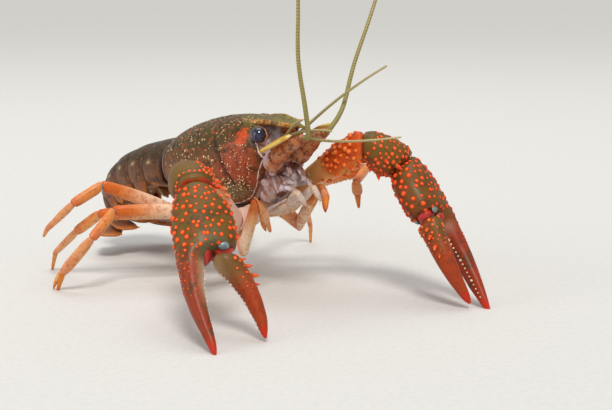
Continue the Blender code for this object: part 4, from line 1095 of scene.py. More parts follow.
FINISHES: tuple[Crust | EyeGloss | Ringed | Skin, ...] = (
    Crust(
        "shell", "483E1C", "7C4E2C", "9E6646", knob="CAA470", knob_tip="EED8AC", pale="ECD0C6",
        blotch=("282512", 420, 0.8), freckle=("A6461C", 1000, 0.6), fleck=("DEBC84", 820, 0.7),
        streak=("3C2216", 900, 0.6), flank_run=(0.3, 0.52), roughness=0.42, coat=0.12, grain=0.5,
        patches=(
            *both((30.8, 9.2, 8), 6.2, "AA4C32", 0.85), *both((28.2, 9, 1), 3.8, "7A6C48", 0.75),
            Patch((33.5, 0, 19), 6, "74682C", 0.6), *both((33.1, 7.2, 15), 2.5, "D44C14", 0.85)
        )
    ),
    Crust(
        "face", "DED0D6", "D2BEC0", "CEB6B0", knob="DCC8BE", crease_tint="4A341E", blotch=("7A707C", 520, 0.7),
        freckle=("8C5438", 700, 0.75), grain=0.4, glow=0.1
    ),
    Crust(
        "beak", "786E2C", "8C5C2A", "B08054", knob="C4682E", knob_tip="E6AA64", far=("9E903C", 0.3, 0.9),
        pale="D6924E", blotch=("342F14", 560, 0.8), freckle=("6E2210", 760, 0.9), fleck=("BAA854", 900, 0.75),
        flank_run=(0.3, 0.55), roughness=0.42, coat=0.15, grain=0.5, pale_below=True
    ),
    Crust("rim", "BA703E", "C88250", "CE9668", blotch=("965632", 320, 0.5), freckle=("783E24", 1500, 0.35)),
    Crust(
        "tail", "3C2F1A", "7A4E2E", "BA8862", knob="966438", knob_tip="C8A070", pale="DCB88C",
        blotch=("241F11", 320, 0.7), freckle=("803C1C", 1500, 0.55), fleck=("CEAE78", 1500, 0.3), roughness=0.4,
        coat=0.15, grain=0.45
    ),
    Crust(
        "fan", "8C4A20", "A45C2A", "BA7646", far=("B86C32", 0.6, 1), pale="BE763C", freckle=("5C2E16", 1500, 0.5),
        roughness=0.36
    ),
    Crust(
        "palm", "68521C", "70481A", "AA3C16", knob="DE300A", knob_tip="F66C16", far=("8E3212", 0.32, 0.55),
        tip=("C02A12", 0.88), pale="DEC4A0", blotch=("3A3A18", 320, 0.75), freckle=("923812", 1500, 0.7),
        flank_run=(0.3, 0.7), belly_run=(0.7, 0.95), roughness=0.44, coat=0.1, grain=0.45,
        # A teal patch in the palm's middle: partly the palm's own colour, partly a painted sheen.
        patches=(Patch((-37, -37.5, 19), 4.5, "4A644A", 0.5, False),)
    ),
    Crust(
        "palm_far", "644C1A", "7A3E16", "BA3C16", knob="E22E0C", knob_tip="F6641C", far=("963212", 0.34, 0.56),
        tip=("C02A12", 0.88), pale="DEAC96", blotch=("3C3416", 320, 0.75), freckle=("9C3412", 1500, 0.7),
        flank_run=(0.3, 0.7), belly_run=(0.7, 0.95), roughness=0.44, coat=0.1, grain=0.45
    ),
    Crust(
        "thumb", "705022", "8C461C", "A44C24", knob="E03A0E", knob_tip="F67C30", far=("A43C14", 0.12, 0.5),
        tip=("C22A12", 0.84), pale="DEBE92", blotch=("6C3416", 320, 0.5), freckle=("682610", 1500, 0.35),
        roughness=0.42, coat=0.1
    ),
    Crust(
        "arm_far", "D25418", "DA5A1C", "E68E42", knob="E84E18", knob_tip="F89246", far=("C43012", 0.95, 1.2),
        pale="F4BA70", blotch=("843616", 320, 0.6), freckle=("B02C12", 1500, 0.35), flank_run=(0.35, 0.7),
        roughness=0.4, coat=0.15
    ),
    Crust(
        "arm_near", "C85A24", "E09E76", "EAC8B2", knob="E25C22", knob_tip="F8A86E", pale="EED0BE",
        blotch=("CE8C68", 320, 0.4), freckle=("C4683E", 1500, 0.35), flank_run=(0.1, 0.4), roughness=0.4, coat=0.15,
        glow=0.1
    ),
    Crust(
        "forearm", "70541C", "7A481C", "B4461C", knob="DE2E0C", knob_tip="F6762C", far=("CE2E14", 0.955, 1),
        blotch=("423818", 320, 0.65), freckle=("923E16", 1500, 0.35), flank_run=(0.3, 0.75), roughness=0.42, coat=0.12,
        grain=0.45
    ),
    Crust(
        "leg", "D87E2C", "E08834", "E6AA64", knob="CE6A2C", knob_tip="F0C48C", far=("CE5C1A", 0.5, 1.1), pale="EED4B8",
        blotch=("BE682E", 420, 0.4), freckle=("BA501C", 1100, 0.45), roughness=0.38, grain=0.25, glow=0.12,
        pale_below=True
    ),
    Crust(
        "base", "D6AA88", "DEBA9E", "E6CCB6", blotch=("BA8C6E", 320, 0.4), freckle=("B06E48", 1500, 0.3), coat=0.15,
        grain=0.2, glow=0.1
    ),
    Crust(
        "mouth", "DED0D6", "D4B8B0", "E0CCC0", knob="E4D4C6", knob_tip="F0E6D6", pale="9E5430", crease_tint="7C4634",
        blotch=("707A8E", 640, 0.55), freckle=("965438", 560, 0.65), coat=0.25, grain=0.5, glow=0.1,
        patches=(
            *both((39.2, 2.4, 5.6), 2.6, "7A3820", 0.85), *both((37.4, 4.8, 3.6), 1.5, "546880", 0.8),
            *both((39, 3.4, -0.4), 3, "E8DEE4", 0.75)
        )
    ),
    Crust(
        "jaw", "D6C8C0", "CEB8A8", "DCC8B4", knob="ECDEC4", knob_tip="F0E2C8", far=("DEA668", 0.7, 1.2), pale="C4A06E",
        blotch=("A49CA4", 520, 0.6), freckle=("B07450", 1500, 0.4), coat=0.25, grain=0.3, glow=0.1
    ),
    Crust(
        "feeler_base", "925C2A", "B85C28", "C48458", knob="CE8646", far=("CE6026", 0.5, 1.2),
        blotch=("C4ACA0", 300, 0.5), freckle=("542E16", 800, 0.75), grain=0.5,
        patches=(
            *both((39.6, 6.2, 8.6), 2.4, "CEBEC6", 0.8), *both((38.6, 4.6, 4.4), 1.8, "542E1C", 0.8)
        )
    ),
    Crust(
        "scale", "DEB64E", "D4A04A", "DCBA78", knob="E8C464", knob_tip="F8E6A8", pale="F0DA8C",
        blotch=("B48A36", 320, 0.35), freckle=("A06A28", 1500, 0.3), roughness=0.28, coat=0.4, grain=0.15
    ),
    EyeGloss(),
    Ringed("whip", "968842", "544420", "A88652"),
    Ringed("fine_whip", "A6985E", "705E36", "BAA874", 40),
    Skin("red_skin", "C8281A", "8C1612"),
    Skin("pink_skin", "CE8C78", "AA5C4A"),
    Skin("blue_skin", "788A88", "545C64"),
    Skin("tooth", "E8D8C8", "D6BAA8", 0.3),
)


@dataclass
class Palette:
    """Every finish of the animal, built once."""

    made: dict[str, Material] = field(default_factory=dict)

    def __post_init__(self) -> None:
        """Builds the materials."""
        for finish in FINISHES:
            self.made[finish.name] = finish.build()

    def wear(self, *names: str) -> list[Material]:
        """The finishes of those names."""
        return [self.made[name] for name in names]

# The animal


@dataclass
class Carapace:
    """The shell over head and chest, with its beak and eye sockets."""

    palette: Palette
    # Stations: distance from the hind margin, half width, top, lower edge.
    stations: Rows = (
        (0, 9.7, 16.8, 3.2), (2, 10.3, 17.6, 1.2), (6, 11, 18.7, -0.9), (11, 11.4, 19.4, -1.8),
        (16, 11.5, 19.8, -2.1), (20, 11.4, 19.8, -2.3), (24, 11, 19.5, -2.5), (28, 10.1, 19.1, -1.8),
        (31.5, 8.9, 18.5, 0.6), (34.5, 7.4, 17.9, 3.8), (37.2, 6.2, 17.2, 6.8)
    )
    front_edge: float = 37.2
    # Scale and distance ahead of the front margin: the rolled lip, then the face inside it.
    face_rings: Rows = (
        (0.985, -0.5), (0.97, 0), (0.9, 0.12), (0.86, -0.25), (0.8, -0.1), (0.62, 0.25), (0.4, 0.42), (0.2, 0.5),
        (0.02, 0.52)
    )
    axis: float = 9
    arch_power: float = 0.9
    skirt_power: float = 0.62
    skirt_tuck: float = 0.2
    widest: float = 0.44
    sides: int = 168
    rings: int = 112
    # The groove behind the head and the two along the back: angle from the top and distance forward.
    neck_groove: Rows = ((0, 21.2), (0.35, 21.6), (0.7, 22.8), (1.05, 24.6), (1.4, 26.4), (1.75, 27.6), (2.1, 28.6))
    back_groove: Rows = ((0.045, 20.5), (0.02, 16), (0.015, 11), (0.03, 6), (0.1, 1))
    cheek_groove: Rows = ((1.25, 30.2), (1.55, 31.2), (1.85, 31.6))
    ridge: Rows = ((0.46, 28.5), (0.47, 31), (0.47, 33.5), (0.46, 35.6))
    groove_depth: float = 0.5
    groove_width: float = 0.62
    eye: Row = (37.9, 5.3, 14.1)
    socket: float = 2.2
    # Beak: forward, half width, middle height, thickness.
    beak: Rows = (
        (29, 1.6, 17.6, 1), (31, 2.7, 17.45, 1.5), (33, 3.7, 17.2, 1.7), (35, 4.25, 17.05, 2),
        (38.5, 3.9, 16.7, 1.8), (42, 3.1, 15.8, 1.5), (44.6, 2.55, 15.05, 1.35), (45.4, 1.9, 14.75, 1.25),
        (46.4, 1.2, 14.45, 1.1), (48.6, 0.25, 13.8, 0.6)
    )
    beak_trough: float = 0.42
    beak_rim: float = 0.34
    side_grains: int = 250
    top_grains: int = 130

    def ring(self, forward: float, scale: float = 1, ahead: float = 0) -> list[Vector]:
        """One ring of the shell.

        Args:
            forward: Its station.
            scale: How far it is drawn in towards its middle.
            ahead: How far it is moved forward.

        Returns:
            Its points.
        """
        half, top, low = self.profile.at(forward)
        middle = low + self.widest * (top - low)
        ring = []
        for step in range(self.sides):
            turn = tau * step / self.sides
            c, s = cos(turn), sin(turn)
            if s >= 0:
                x = power(c, self.arch_power) * half
                z = middle + (top - middle) * power(s, self.arch_power)
            else:
                x = power(c, self.skirt_power) * half * (1 - self.skirt_tuck * abs(s))
                z = middle + (middle - low) * power(s, self.skirt_power)
            ring.append(body(forward + ahead, x * scale, middle + (z - middle) * scale))
        return ring

    def away(self, angle: float, forward: float, line: Rows) -> float:
        """Distance over the shell from a place to a line of (angle, forward) stations.

        Args:
            angle: The place's turn from the top.
            forward: Its distance from the hind margin.
            line: The line's stations.

        Returns:
            The distance.
        """
        spot = Vector((angle * 10, forward))
        best = 99
        for near, far in zip(line, line[1:]):
            a, b = Vector((near[0] * 10, near[1])), Vector((far[0] * 10, far[1]))
            share = min(1, max(0, (spot - a).dot(b - a) / (b - a).length_squared))
            best = min(best, (spot - a.lerp(b, share)).length)
        return best

    def carve(self, form: Form) -> None:
        """Presses the grooves and eye sockets in, raises the ridges, and paints shade into the grooves.

        Args:
            form: The piece in the making.
        """
        for vert in form.mesh.verts:
            left, forward, up = vert.co.x, -vert.co.y, vert.co.z
            outward = Vector((left, 0, up - self.axis)).normalized()
            angle = acos(max(-1, min(1, outward.z)))
            crease, lift = 0, 0
            # Painted shade along the neck groove, stronger on the sides.
            if forward > 19 and angle < 2.4:
                gap = self.away(angle, forward, self.neck_groove) / self.groove_width
                lift -= self.groove_depth * exp(-gap * gap)
                crease = (0.12 + 0.68 * ease(angle, 0.75, 1.1)) * exp(-gap * gap * 0.7)
            # Each line's last number is how much painted shade its groove gets; the ridge gets none.
            for near, line, width, raised, dark in (
                (forward < 22 and angle < 0.5, self.back_groove, 0.4, -0.28, 0.6),
                (forward > 28 and 1 < angle < 2.2, self.cheek_groove, 0.6, -0.22, 0.35),
                (forward > 27 and angle < 1, self.ridge, 0.55, 0.42, 0)
            ):
                if near:
                    cut = bell(self.away(angle, forward, line), width)
                    lift += raised * cut
                    crease = max(crease, dark * cut)
            # Painted shade in the groove along the hind margin.
            if forward < 3:
                cut = bell(forward - 1.5, 0.35)
                lift -= 0.22 * cut
                crease = max(crease, 0.5 * cut)
            low = self.profile.at(forward)[2]
            edge = (1 - ease(up - low, 0.2, 0.6)) * ease(forward, 26, 31)
            edge = max(edge, 0.45 * (1 - ease(forward, 0.25, 1)))
            vert.co += outward * lift
            paint = vert[form.paint]
            vert[form.paint] = (forward / self.front_edge, 0, angle / pi, max(paint[3], edge * 0.85))
            vert[form.crease] = crease
        for side, _ in SIDES:
            centre = body(self.eye[0], side * self.eye[1], self.eye[2])
            inward = Vector((-side * 0.8, 0.55, 0)).normalized()
            for vert in form.mesh.verts:
                gap = vert.co - centre
                if gap.length < self.socket:
                    toward = gap.dot(inward)
                    vert.co += inward * (-toward + sqrt(toward**2 - gap.length_squared + self.socket**2))
                    vert[form.paint] = (0.9, 0, 0.3, 0.25)
                elif gap.length < self.socket + 0.9:
                    rim = 1 - abs(gap.length - self.socket - 0.4) / 0.5
                    vert.co += gap.normalized() * 0.16 * max(0, rim)
                    vert[form.paint] = (0.9, 0, 0.3, max(vert[form.paint][3], 0.08))

    def front(self, form: Form) -> None:
        """Closes the front with a rolled lip round a soft pale face.

        Args:
            form: The piece in the making.
        """
        rings = [self.ring(self.front_edge, scale, ahead) for scale, ahead in self.face_rings]
        # Painted shade in the seam of the rolled lip, and over the face's top where the beak hangs above it.
        for index, vert in enumerate(form.sleeve(rings, None, 0, 2)):
            if index < 3 * self.sides:
                vert[form.crease] = 0.6
            else:
                vert[form.crease] = 0.7 * ease(vert.co.z + noise.noise(vert.co * 0.9), 12, 16)
        form.mesh.faces.ensure_lookup_table()

    def margin(self, form: Form) -> None:
        """The pale rolled line along the front margin of each cheek.

        Args:
            form: The piece in the making.
        """
        for side, _ in SIDES:
            path = []
            for forward in spread(22, 37.1, 26):
                half, top, low = self.profile.at(forward)
                middle = low + self.widest * (top - low)
                turn = -1 + 0.45 * ease(forward, 30, 37.1)
                x = power(cos(turn), self.skirt_power) * half * (1 - self.skirt_tuck * abs(sin(turn)))
                path.append(body(forward, side * x, middle + (middle - low) * power(sin(turn), self.skirt_power)))
            half, top, low = self.profile.at(self.front_edge)
            middle = low + self.widest * (top - low)
            for turn in spread(-0.5, 0.42, 14):
                x = power(cos(turn), self.arch_power if turn > 0 else self.skirt_power) * half
                x *= 1 - self.skirt_tuck * max(0, -sin(turn))
                z = (top - middle) * power(sin(turn), self.arch_power) if turn > 0 else 0
                z += (middle - low) * power(sin(turn), self.skirt_power) if turn <= 0 else 0
                path.append(body(37.25, side * x, middle + z))
            radii = [form.vary(0.1, 0.26) for _ in path]
            path = [spot - Vector((side * form.vary(0, 0.26), -0.06, 0)) for spot in path]
            radii[0] = radii[-1] = 0.06
            thick = [radii[min(len(radii) - 1, i // 3)] for i in range(len(path) * 3 - 2)]
            form.rod(smooth_path(path, 3), thick, 8, 0, 1)

    def build_beak(self, form: Form) -> None:
        """The pointed beak: hollow along its top, with raised rims and a spine at each shoulder.

        Args:
            form: The piece in the making.
        """
        profile = Profile(self.beak)
        rings, shares = [], []
        for forward in spread(29, 48.6, 68):
            half, height, thick = profile.at(forward)
            ring = []
            for point in oval(body(forward, 0, height), SIDEWAYS, UPWARD, half, thick * 0.5, 44, 2.6):
                level = (point.z - height) / (thick * 0.5)
                across = abs(point.x) / half
                trough = self.beak_trough * ease(forward, 31, 35) * (1 - ease(forward, 43.5, 46))
                rim = self.beak_rim * bell(across - 0.86, 0.12) * ease(forward, 30.5, 34.5)
                rim *= 1 - ease(forward, 44.6, 46.2)
                top = max(0, level)
                ring.append(point + UPWARD * top * (rim - trough * (1 - across * across)))
            rings.append(ring)
            shares.append((forward - 29) / 19.6)
        for index, vert in enumerate(form.sleeve(rings, shares, 0, 1)):
            across = abs(vert.co.x) / max(0.3, profile.at(-vert.co.y)[0])
            if vert.co.z > profile.at(-vert.co.y)[1]:
                vert[form.crease] = 0.3 * (1 - ease(across, 0.5, 0.85))
            form.fade(vert, 0.55 * ease(across, 0.72, 0.9))
        tree = form.tree()
        corner = self.beak[6]
        for side, _ in SIDES:
            root = body(corner[0] - 0.1, side * (corner[1] - 0.35), corner[2] + 0.15)
            form.stud(root, body(1, side * 0.2, 0.08), 0.5, 1.9, Raised.SPINE, 0.8, 0, 1)
            for _ in range(26):
                forward = form.vary(32.5, 44)
                half = profile.at(forward)[0]
                spot = body(forward, side * half * form.vary(0.68, 0.98), 12)
                size = form.vary(0.1, 0.17)
                form.plant(tree, spot, UPWARD, size, size * 0.7, share=0.4, finish=1)

    def grains(self, form: Form, tree: BVHTree) -> None:
        """Small raised grains over the sides, fewer and lower along the back.

        Args:
            form: The piece in the making.
            tree: Its surface.
        """
        for index in range(self.side_grains + self.top_grains):
            side = 1 if index % 2 else -1
            if index < self.side_grains:
                angle, forward = form.vary(0.75, 2.15), form.vary(1.5, 27)
                size = form.vary(0.12, 0.2) if form.rng.random() < 0.6 else form.vary(0.26, 0.42)
                size *= (1 if angle > 1 else 0.75) * (0.5 + 0.5 * forward / 27)
            else:
                angle, forward = form.vary(0.06, 0.8), form.vary(2, 35.5)
                size = form.vary(0.1, 0.2)
            if forward > 21 and self.away(angle, forward, self.neck_groove) < 0.7:
                continue
            outward = body(0, side * sin(angle), cos(angle))
            pale = form.vary(0, 0.25)
            share = forward / self.front_edge
            form.plant(tree, body(forward, 0, self.axis), outward, size, size * 0.6, share=share, pale=pale)
        for side, _ in SIDES:
            for index in range(110):
                low = index > 60
                angle = form.vary(1.95, 2.5) if low else form.vary(0.8, 2.2)
                forward = form.vary(25.5, 31.5) if low else form.vary(26.5, 34.5)
                size = form.vary(0.12, 0.24) if low else form.vary(0.08, 0.2)
                outward = body(0, side * sin(angle), cos(angle))
                share = forward / self.front_edge
                form.plant(tree, body(forward, 0, self.axis), outward, size, size * 0.5, share=share)
            outward = body(0, side, 0.12)
            form.plant(tree, body(24.5, 0, self.axis), outward, 0.5, 1.3, Raised.SPINE, body(0.6, 0, 0), 0.6)
            for forward, up in ((26.6, 6.2), (26.2, 4), (27.2, 8.4)):
                spot = body(forward, 0, up)
                form.plant(tree, spot, outward, 0.3, 0.5, Raised.SPINE, body(0.5, 0, 0), 0.6)
            ridge = self.ridge[-1]
            outward = body(0, side * sin(ridge[0]), cos(ridge[0]))
            spot = body(ridge[1], 0, self.axis)
            form.plant(tree, spot, outward, 0.4, 1.1, Raised.SPINE, body(2.2, side * 0.2, -0.2), 0.9)

    def build(self) -> None:
        """Builds the shell."""
        self.profile = Profile(self.stations)
        form = Form(3)
        places = spread(0, self.front_edge, self.rings)
        lead = [self.ring(0, s, a) for s, a in ((0.02, 0.9), (0.6, 0.9), (0.9, 0.8), (0.975, 0.35), (0.99, 0.05))]
        rings = [*lead, *[self.ring(forward) for forward in places[1:]]]
        shares = [0] * 5 + [forward / self.front_edge for forward in places[1:]]
        form.sleeve(rings, shares)
        self.carve(form)
        form.roughen(0.07, 0.35)
        self.front(form)
        tree = form.tree()
        self.margin(form)
        self.grains(form, tree)
        self.build_beak(form)
        form.done("carapace_shell", self.palette.wear("shell", "beak", "face"), "carapace", on_body=True)


@dataclass
class Underside:
    """The breastplate between the legs, with the round bases that the legs stand on."""

    palette: Palette
    # Forward, half width, top.
    plate: Rows = ((2, 3.8, -1.8), (5, 5.4, -1.9), (12, 5.6, -2.4), (19, 5, -2.9), (24.5, 3.8, -3.1), (30.6, 3, -1.8))
    depth: float = 3.2
    # Each pair of bases: forward, height, radius, how far it sweeps.
    bases: Rows = (
        (28.2, -5, 2.7, 3.4), (22, -5, 2.1, 0.8), (17, -4.8, 2.1, -0.8), (12.2, -4.5, 2.1, -1.6), (7.4, -3.9, 2, -2.2)
    )
    base_out: float = 6.3

    def base(self, number: int, side: float) -> tuple[Vector, Vector]:
        """Where a limb leaves the body, and its heading there.

        Args:
            number: Which pair of bases, from the front.
            side: -1 on the right, 1 on the left.

        Returns:
            The place and the heading.
        """
        forward, height, _, sweep = self.bases[number]
        end = CARRIAGE.stand(forward, side * self.base_out, height)
        inner = CARRIAGE.stand(forward - sweep, side * 2, height)
        return end, (end - inner).normalized()

    def build(self) -> None:
        """Builds the plate and its bases."""
        form = Form(5)
        profile = Profile(self.plate)
        rings = []
        for forward in spread(2, 30.6, 60):
            width, top = profile.at(forward)
            scale = ease(min(forward - 1.6, 31 - forward), -0.2, 1.2)
            centre = body(forward, 0, top - self.depth * 0.5)
            rings.append(oval(centre, SIDEWAYS, UPWARD, width * scale, self.depth * 0.5 * scale, 36, 3.4))
        verts = form.sleeve(rings)
        # Painted shade in grooves across the plate, just behind each pair of leg bases.
        for vert in verts:
            for forward, _, radius, _ in self.bases:
                gap = (abs(vert.co.x) ** 2 * 0.3 + (-vert.co.y - forward + 2.6) ** 2) ** 0.5
                vert[form.crease] = max(vert[form.crease], 0.4 * bell(gap, 0.4))
        for forward, height, radius, sweep in self.bases:
            for side, _ in SIDES:
                start = body(forward - sweep, side * 2, height)
                end = body(forward, side * self.base_out, height)
                end -= (end - start).normalized() * GAP
                places = [start.lerp(end, share) for share in (0, 0.3, 0.55, 0.8, 0.9, 0.96, 1)]
                scales = (0.9, 0.98, 0.9, 0.99, 1, 0.96, 0.84)
                form.rod(places, [radius * scale for scale in scales], 28)
        form.roughen(0.05, 0.5)
        form.done("breastplate_and_leg_bases", self.palette.wear("base"), "breastplate", on_body=True)


@dataclass
class Face:
    """Eyes, feelers, their scales, and the mouth parts."""

    palette: Palette
    carapace: Carapace
    eye_radius: float = 1.98
    stalk_root: Row = (36.6, 2.2, 13.3)
    antenna_base: Rows = ((38.3, 4.1, 6.6), (42.4, 4.9, 8.4), (46.4, 4.3, 10), (52, 3.6, 11.6))
    antenna_widths: tuple[Rows, ...] = (
        ((0, 2.1, 2.3), (0.35, 2.4, 2.5), (1, 2, 1.9)), ((0, 2, 1.9), (0.5, 1.95, 1.8), (1, 1.5, 1.4)),
        ((0, 1.5, 1.4), (0.5, 1.45, 1.3), (1, 1, 1))
    )
    antennule_base: Rows = ((37.6, 1.6, 10.4), (41, 1.75, 11.5), (44.6, 1.9, 12.2))
    antennule_widths: tuple[Rows, ...] = (
        ((0, 1.15, 1.3), (0.5, 1.1, 1.2), (1, 0.95, 1)), ((0, 0.95, 1), (0.5, 0.95, 0.95), (1, 0.8, 0.8))
    )
    # Each fine whip: sideways start, direction, length, bow to the left, bow up.
    fine_whips: tuple[Rows, ...] = (
        ((0.25, 0.9, -0.35, 0.3, 13, 0, 0.6), (-0.25, 0.9, 0.3, -0.05, 12, 0, 0.8)),
        ((0.25, 23.7, 10, 11.2, 28.1, 0, 0.9), (-0.25, 21.9, 11.1, -5.6, 25.2, -4.5, -0.4))
    )
    fine_root: float = 0.42
    fine_tip: float = 0.25
    # Places that the long whips pass through.
    whip_right: Rows = (
        (-4.8, -28.6, 47), (-4.5, -25.8, 58), (-2.2, -23, 72), (1.5, -17, 88), (6, -7, 102), (10, 4, 111)
    )
    whip_left: Rows = (
        (6.6, -28.8, 46), (11.4, -27.4, 56), (19, -25.6, 69), (28, -21, 82), (38, -13, 93), (46, -3, 100)
    )
    whip_root: float = 0.72
    whip_tip: float = 0.26
    scale_ends: Rows = ((41.4, 7.5, 10.9), (51.6, 6.3, 13.2))
    scale_width: float = 3.4
    scale_thick: float = 0.75
    scale_outline: Rows = (
        (0.36, 0), (0.5, 0.12), (0.5, 0.5), (0.46, 0.86), (0.3, 0.95), (0.02, 0.92), (-0.3, 0.76), (-0.5, 0.5),
        (-0.46, 0.24), (-0.2, 0)
    )
    jaw_foot: Rows = ((32, 2.6, -5), (39.6, 2.2, -3.4), (43.6, 2.6, -1), (45.6, 2.4, -4.6))
    jaw_widths: tuple[Rows, ...] = (
        ((0, 1.2, 0.9), (0.3, 1.7, 1.2), (0.8, 1.6, 1.2), (1, 1.2, 1)),
        ((0, 1.2, 1), (0.5, 1.2, 1), (1, 0.8, 0.8)), ((0, 0.8, 0.8), (0.5, 0.75, 0.7), (1, 0.3, 0.3))
    )
    # Lobes of the mouth: forward, left, up, half sizes, faces round, rows.
    lobes: tuple[tuple[float, float, float, Row, int, int], ...] = (
        (38.2, 1.9, 1.9, (1.9, 1.3, 1.8), 40, 24), (37.5, 3.5, 4.6, (1.3, 1.4, 0.9), 32, 18),
        (35.4, 4.2, 2.4, (1.1, 2.2, 1.2), 32, 18)
    )
    # Mouth mass: forward, half width, top, bottom.
    mouth: Rows = (
        (31, 4.4, 0, -3.4), (33.5, 4.9, 2.4, -3.4), (36, 4.5, 5.2, -1.6), (38, 3.6, 6.4, -0.2), (38.6, 2.6, 6, 0.8)
    )

    def build_eye(self, side: float, word: str) -> None:
        """An eye: a dark ball on its short stalk, with a pale ring round it.

        Args:
            side: -1 on the right, 1 on the left.
            word: The side's name, right or left.
        """
        form = Form(7)
        eye = self.carapace.eye
        centre = body(eye[0], side * eye[1], eye[2])
        root = body(self.stalk_root[0], side * self.stalk_root[1], self.stalk_root[2])
        out = (centre - root).normalized()
        radius = self.eye_radius
        form.ball(centre, (radius, radius, radius), out.to_track_quat("Z", "Y").to_matrix(), 0, 48, 32)
        radii = (1.1, 1.1, 1.2, 1.45, 1.78, 2.02, 2.07, 2)
        places = [root.lerp(centre, share) for share in (0, 0.3, 0.45, 0.6, 0.72, 0.84, 0.9, 0.95)]
        form.rod(places, radii, 36, 1)
        form.done("eye_globe_" + word, self.palette.wear("eye_gloss", "rim"), "eye_" + word, on_body=True)

    def build_antenna(self, side: float, word: str) -> None:
        """The three thick joints at the root of the long feeler.

        Args:
            side: -1 on the right, 1 on the left.
            word: The side's name, right or left.
        """
        form = Form(9)
        points = [body(f, side * l, z) for f, l, z in self.antenna_base]
        for index, widths in enumerate(self.antenna_widths):
            for vert in form.segment(points[index], points[index + 1], widths, SIDEWAYS, sides=30, count=16, rim=0.2):
                share = vert[form.paint][0]
                vert[form.crease] = 0.7 * bell(share - 0.9, 0.05)
            if index:
                size = widths[0][1] * 0.86
                form.ball(points[index], (size, size, size), None, 1, 20, 12)
        tree = form.tree()
        axis = (points[1] - points[0]).normalized()
        rows = [0.8 * step for step in range(1, 13)]
        form.studs_round(
            tree, points[0], axis, across_axis(axis, SIDEWAYS), rows, 1.4, lambda d, t: (0.14, 0.1), 14, 2
        )
        form.plant(tree, points[0].lerp(points[1], 0.7), body(0.2, side, -0.2), 0.45, 1.1, Raised.SPINE, axis * 0.9)
        form.ball(points[0] + body(0.2, side * 0.2, -2), (1.1, 0.9, 0.9), None, 2, 20, 12, 0)
        finishes = self.palette.wear("feeler_base", "pink_skin", "mouth")
        form.done("feeler_root_" + word, finishes, "antenna_base_" + word, on_body=True)

    def build_antennule(self, side: float, word: str) -> None:
        """The small feeler with its two fine whips.

        Args:
            side: -1 on the right, 1 on the left.
            word: The side's name, right or left.
        """
        form = Form(11)
        small = [body(f, side * l, z) for f, l, z in self.antennule_base]
        for index, widths in enumerate(self.antennule_widths):
            form.segment(small[index], small[index + 1], widths, SIDEWAYS, sides=24, count=12, rim=0.2)
        for start, forward, left, up, length, bow_left, bow_up in self.fine_whips[0 if word == "right" else 1]:
            root = small[-1] + body(-0.8, side * start, 0.1)
            tip = small[-1] + body(forward, left, up).normalized() * length
            path = bow(root, tip, body(0, bow_left, bow_up), 90)
            radii = []
            for index in range(len(path)):
                share = index / 90
                ring = 1 + 0.07 * cos(tau * index / 3)
                radii.append((self.fine_root + (self.fine_tip - self.fine_root) * share**0.8) * ring)
            radii[-1] *= 0.5
            form.rod(path, radii, 10, 1)
        finishes = self.palette.wear("feeler_base", "fine_whip")
        form.done("small_feeler_" + word, finishes, "antennule_" + word, on_body=True)

    def build_scale(self, side: float, word: str) -> None:
        """The stiff blade beside the feeler, with its thick outer rib and spine.

        Args:
            side: -1 on the right, 1 on the left.
            word: The side's name, right or left.
        """
        form = Form(13)
        root, tip = (body(f, side * l, z) for f, l, z in self.scale_ends)
        along = (tip - root).normalized()
        across = across_axis(along, Vector((side, 0, -0.35)))
        length = (tip - root).length
        frame = frame_of(across, along, across.cross(along), root)
        outline = tuple((x * self.scale_width, y * length) for x, y in self.scale_outline)
        form.blade(outline, self.scale_thick, frame)
        edge = [root + across * (0.36 * self.scale_width) + along * (length * y) for y in spread(0.02, 0.93, 24)]
        form.rod(edge, [0.5, *[0.55 - 0.14 * share for share in spread(0, 1, 22)], 0.3], 16)
        form.stud(edge[-1] - along * 0.4, along, 0.4, 1.9, Raised.SPINE, 0.9)
        for index in range(46):
            share = index / 45
            x = -0.5 + 0.62 * ease(share, 0.45, 1)
            y = 0.3 + 0.62 * share - 0.12 * ease(share, 0.6, 1) * (1 - share)
            spot = root + across * (x * self.scale_width + 0.15) + along * (length * y)
            heading = (across * (-0.8 + 0.7 * share) + along).normalized()
            size = form.vary(0.7, 1.2)
            form.stud(spot, heading, 0.06, size, Raised.BRISTLE, 0.8, 0.6)
        name = "antennal_scale_" + word
        form.done("feeler_scale_" + word, self.palette.wear("scale"), name, on_body=True)

    def build_whip(self, word: str, side: float) -> None:
        """The long feeler, made of many short rings.

        Args:
            word: The side's name, right or left.
            side: -1 on the right, 1 on the left.
        """
        form = Form(15)
        base = [CARRIAGE.stand(f, side * l, z) for f, l, z in self.antenna_base]
        along = (base[-1] - base[-2]).normalized()
        root = base[-1] + along * GAP
        places = [Vector(p) for p in (self.whip_right if word == "right" else self.whip_left)]
        coarse = smooth_path([root, root + along * 1.6, *places], 3)
        path = smooth_path(coarse, 20)
        count = len(path) - 1
        radii = []
        for index in range(count + 1):
            share = index / count
            ring = 1 + (0.05 if index % 3 == 0 else -0.02)
            radii.append((self.whip_root + (self.whip_tip - self.whip_root) * share**0.8) * ring)
        radii[-1] *= 0.4
        form.rod(path, radii, 12)
        form.done("long_feeler_" + word, self.palette.wear("whip"), "antenna_" + word)

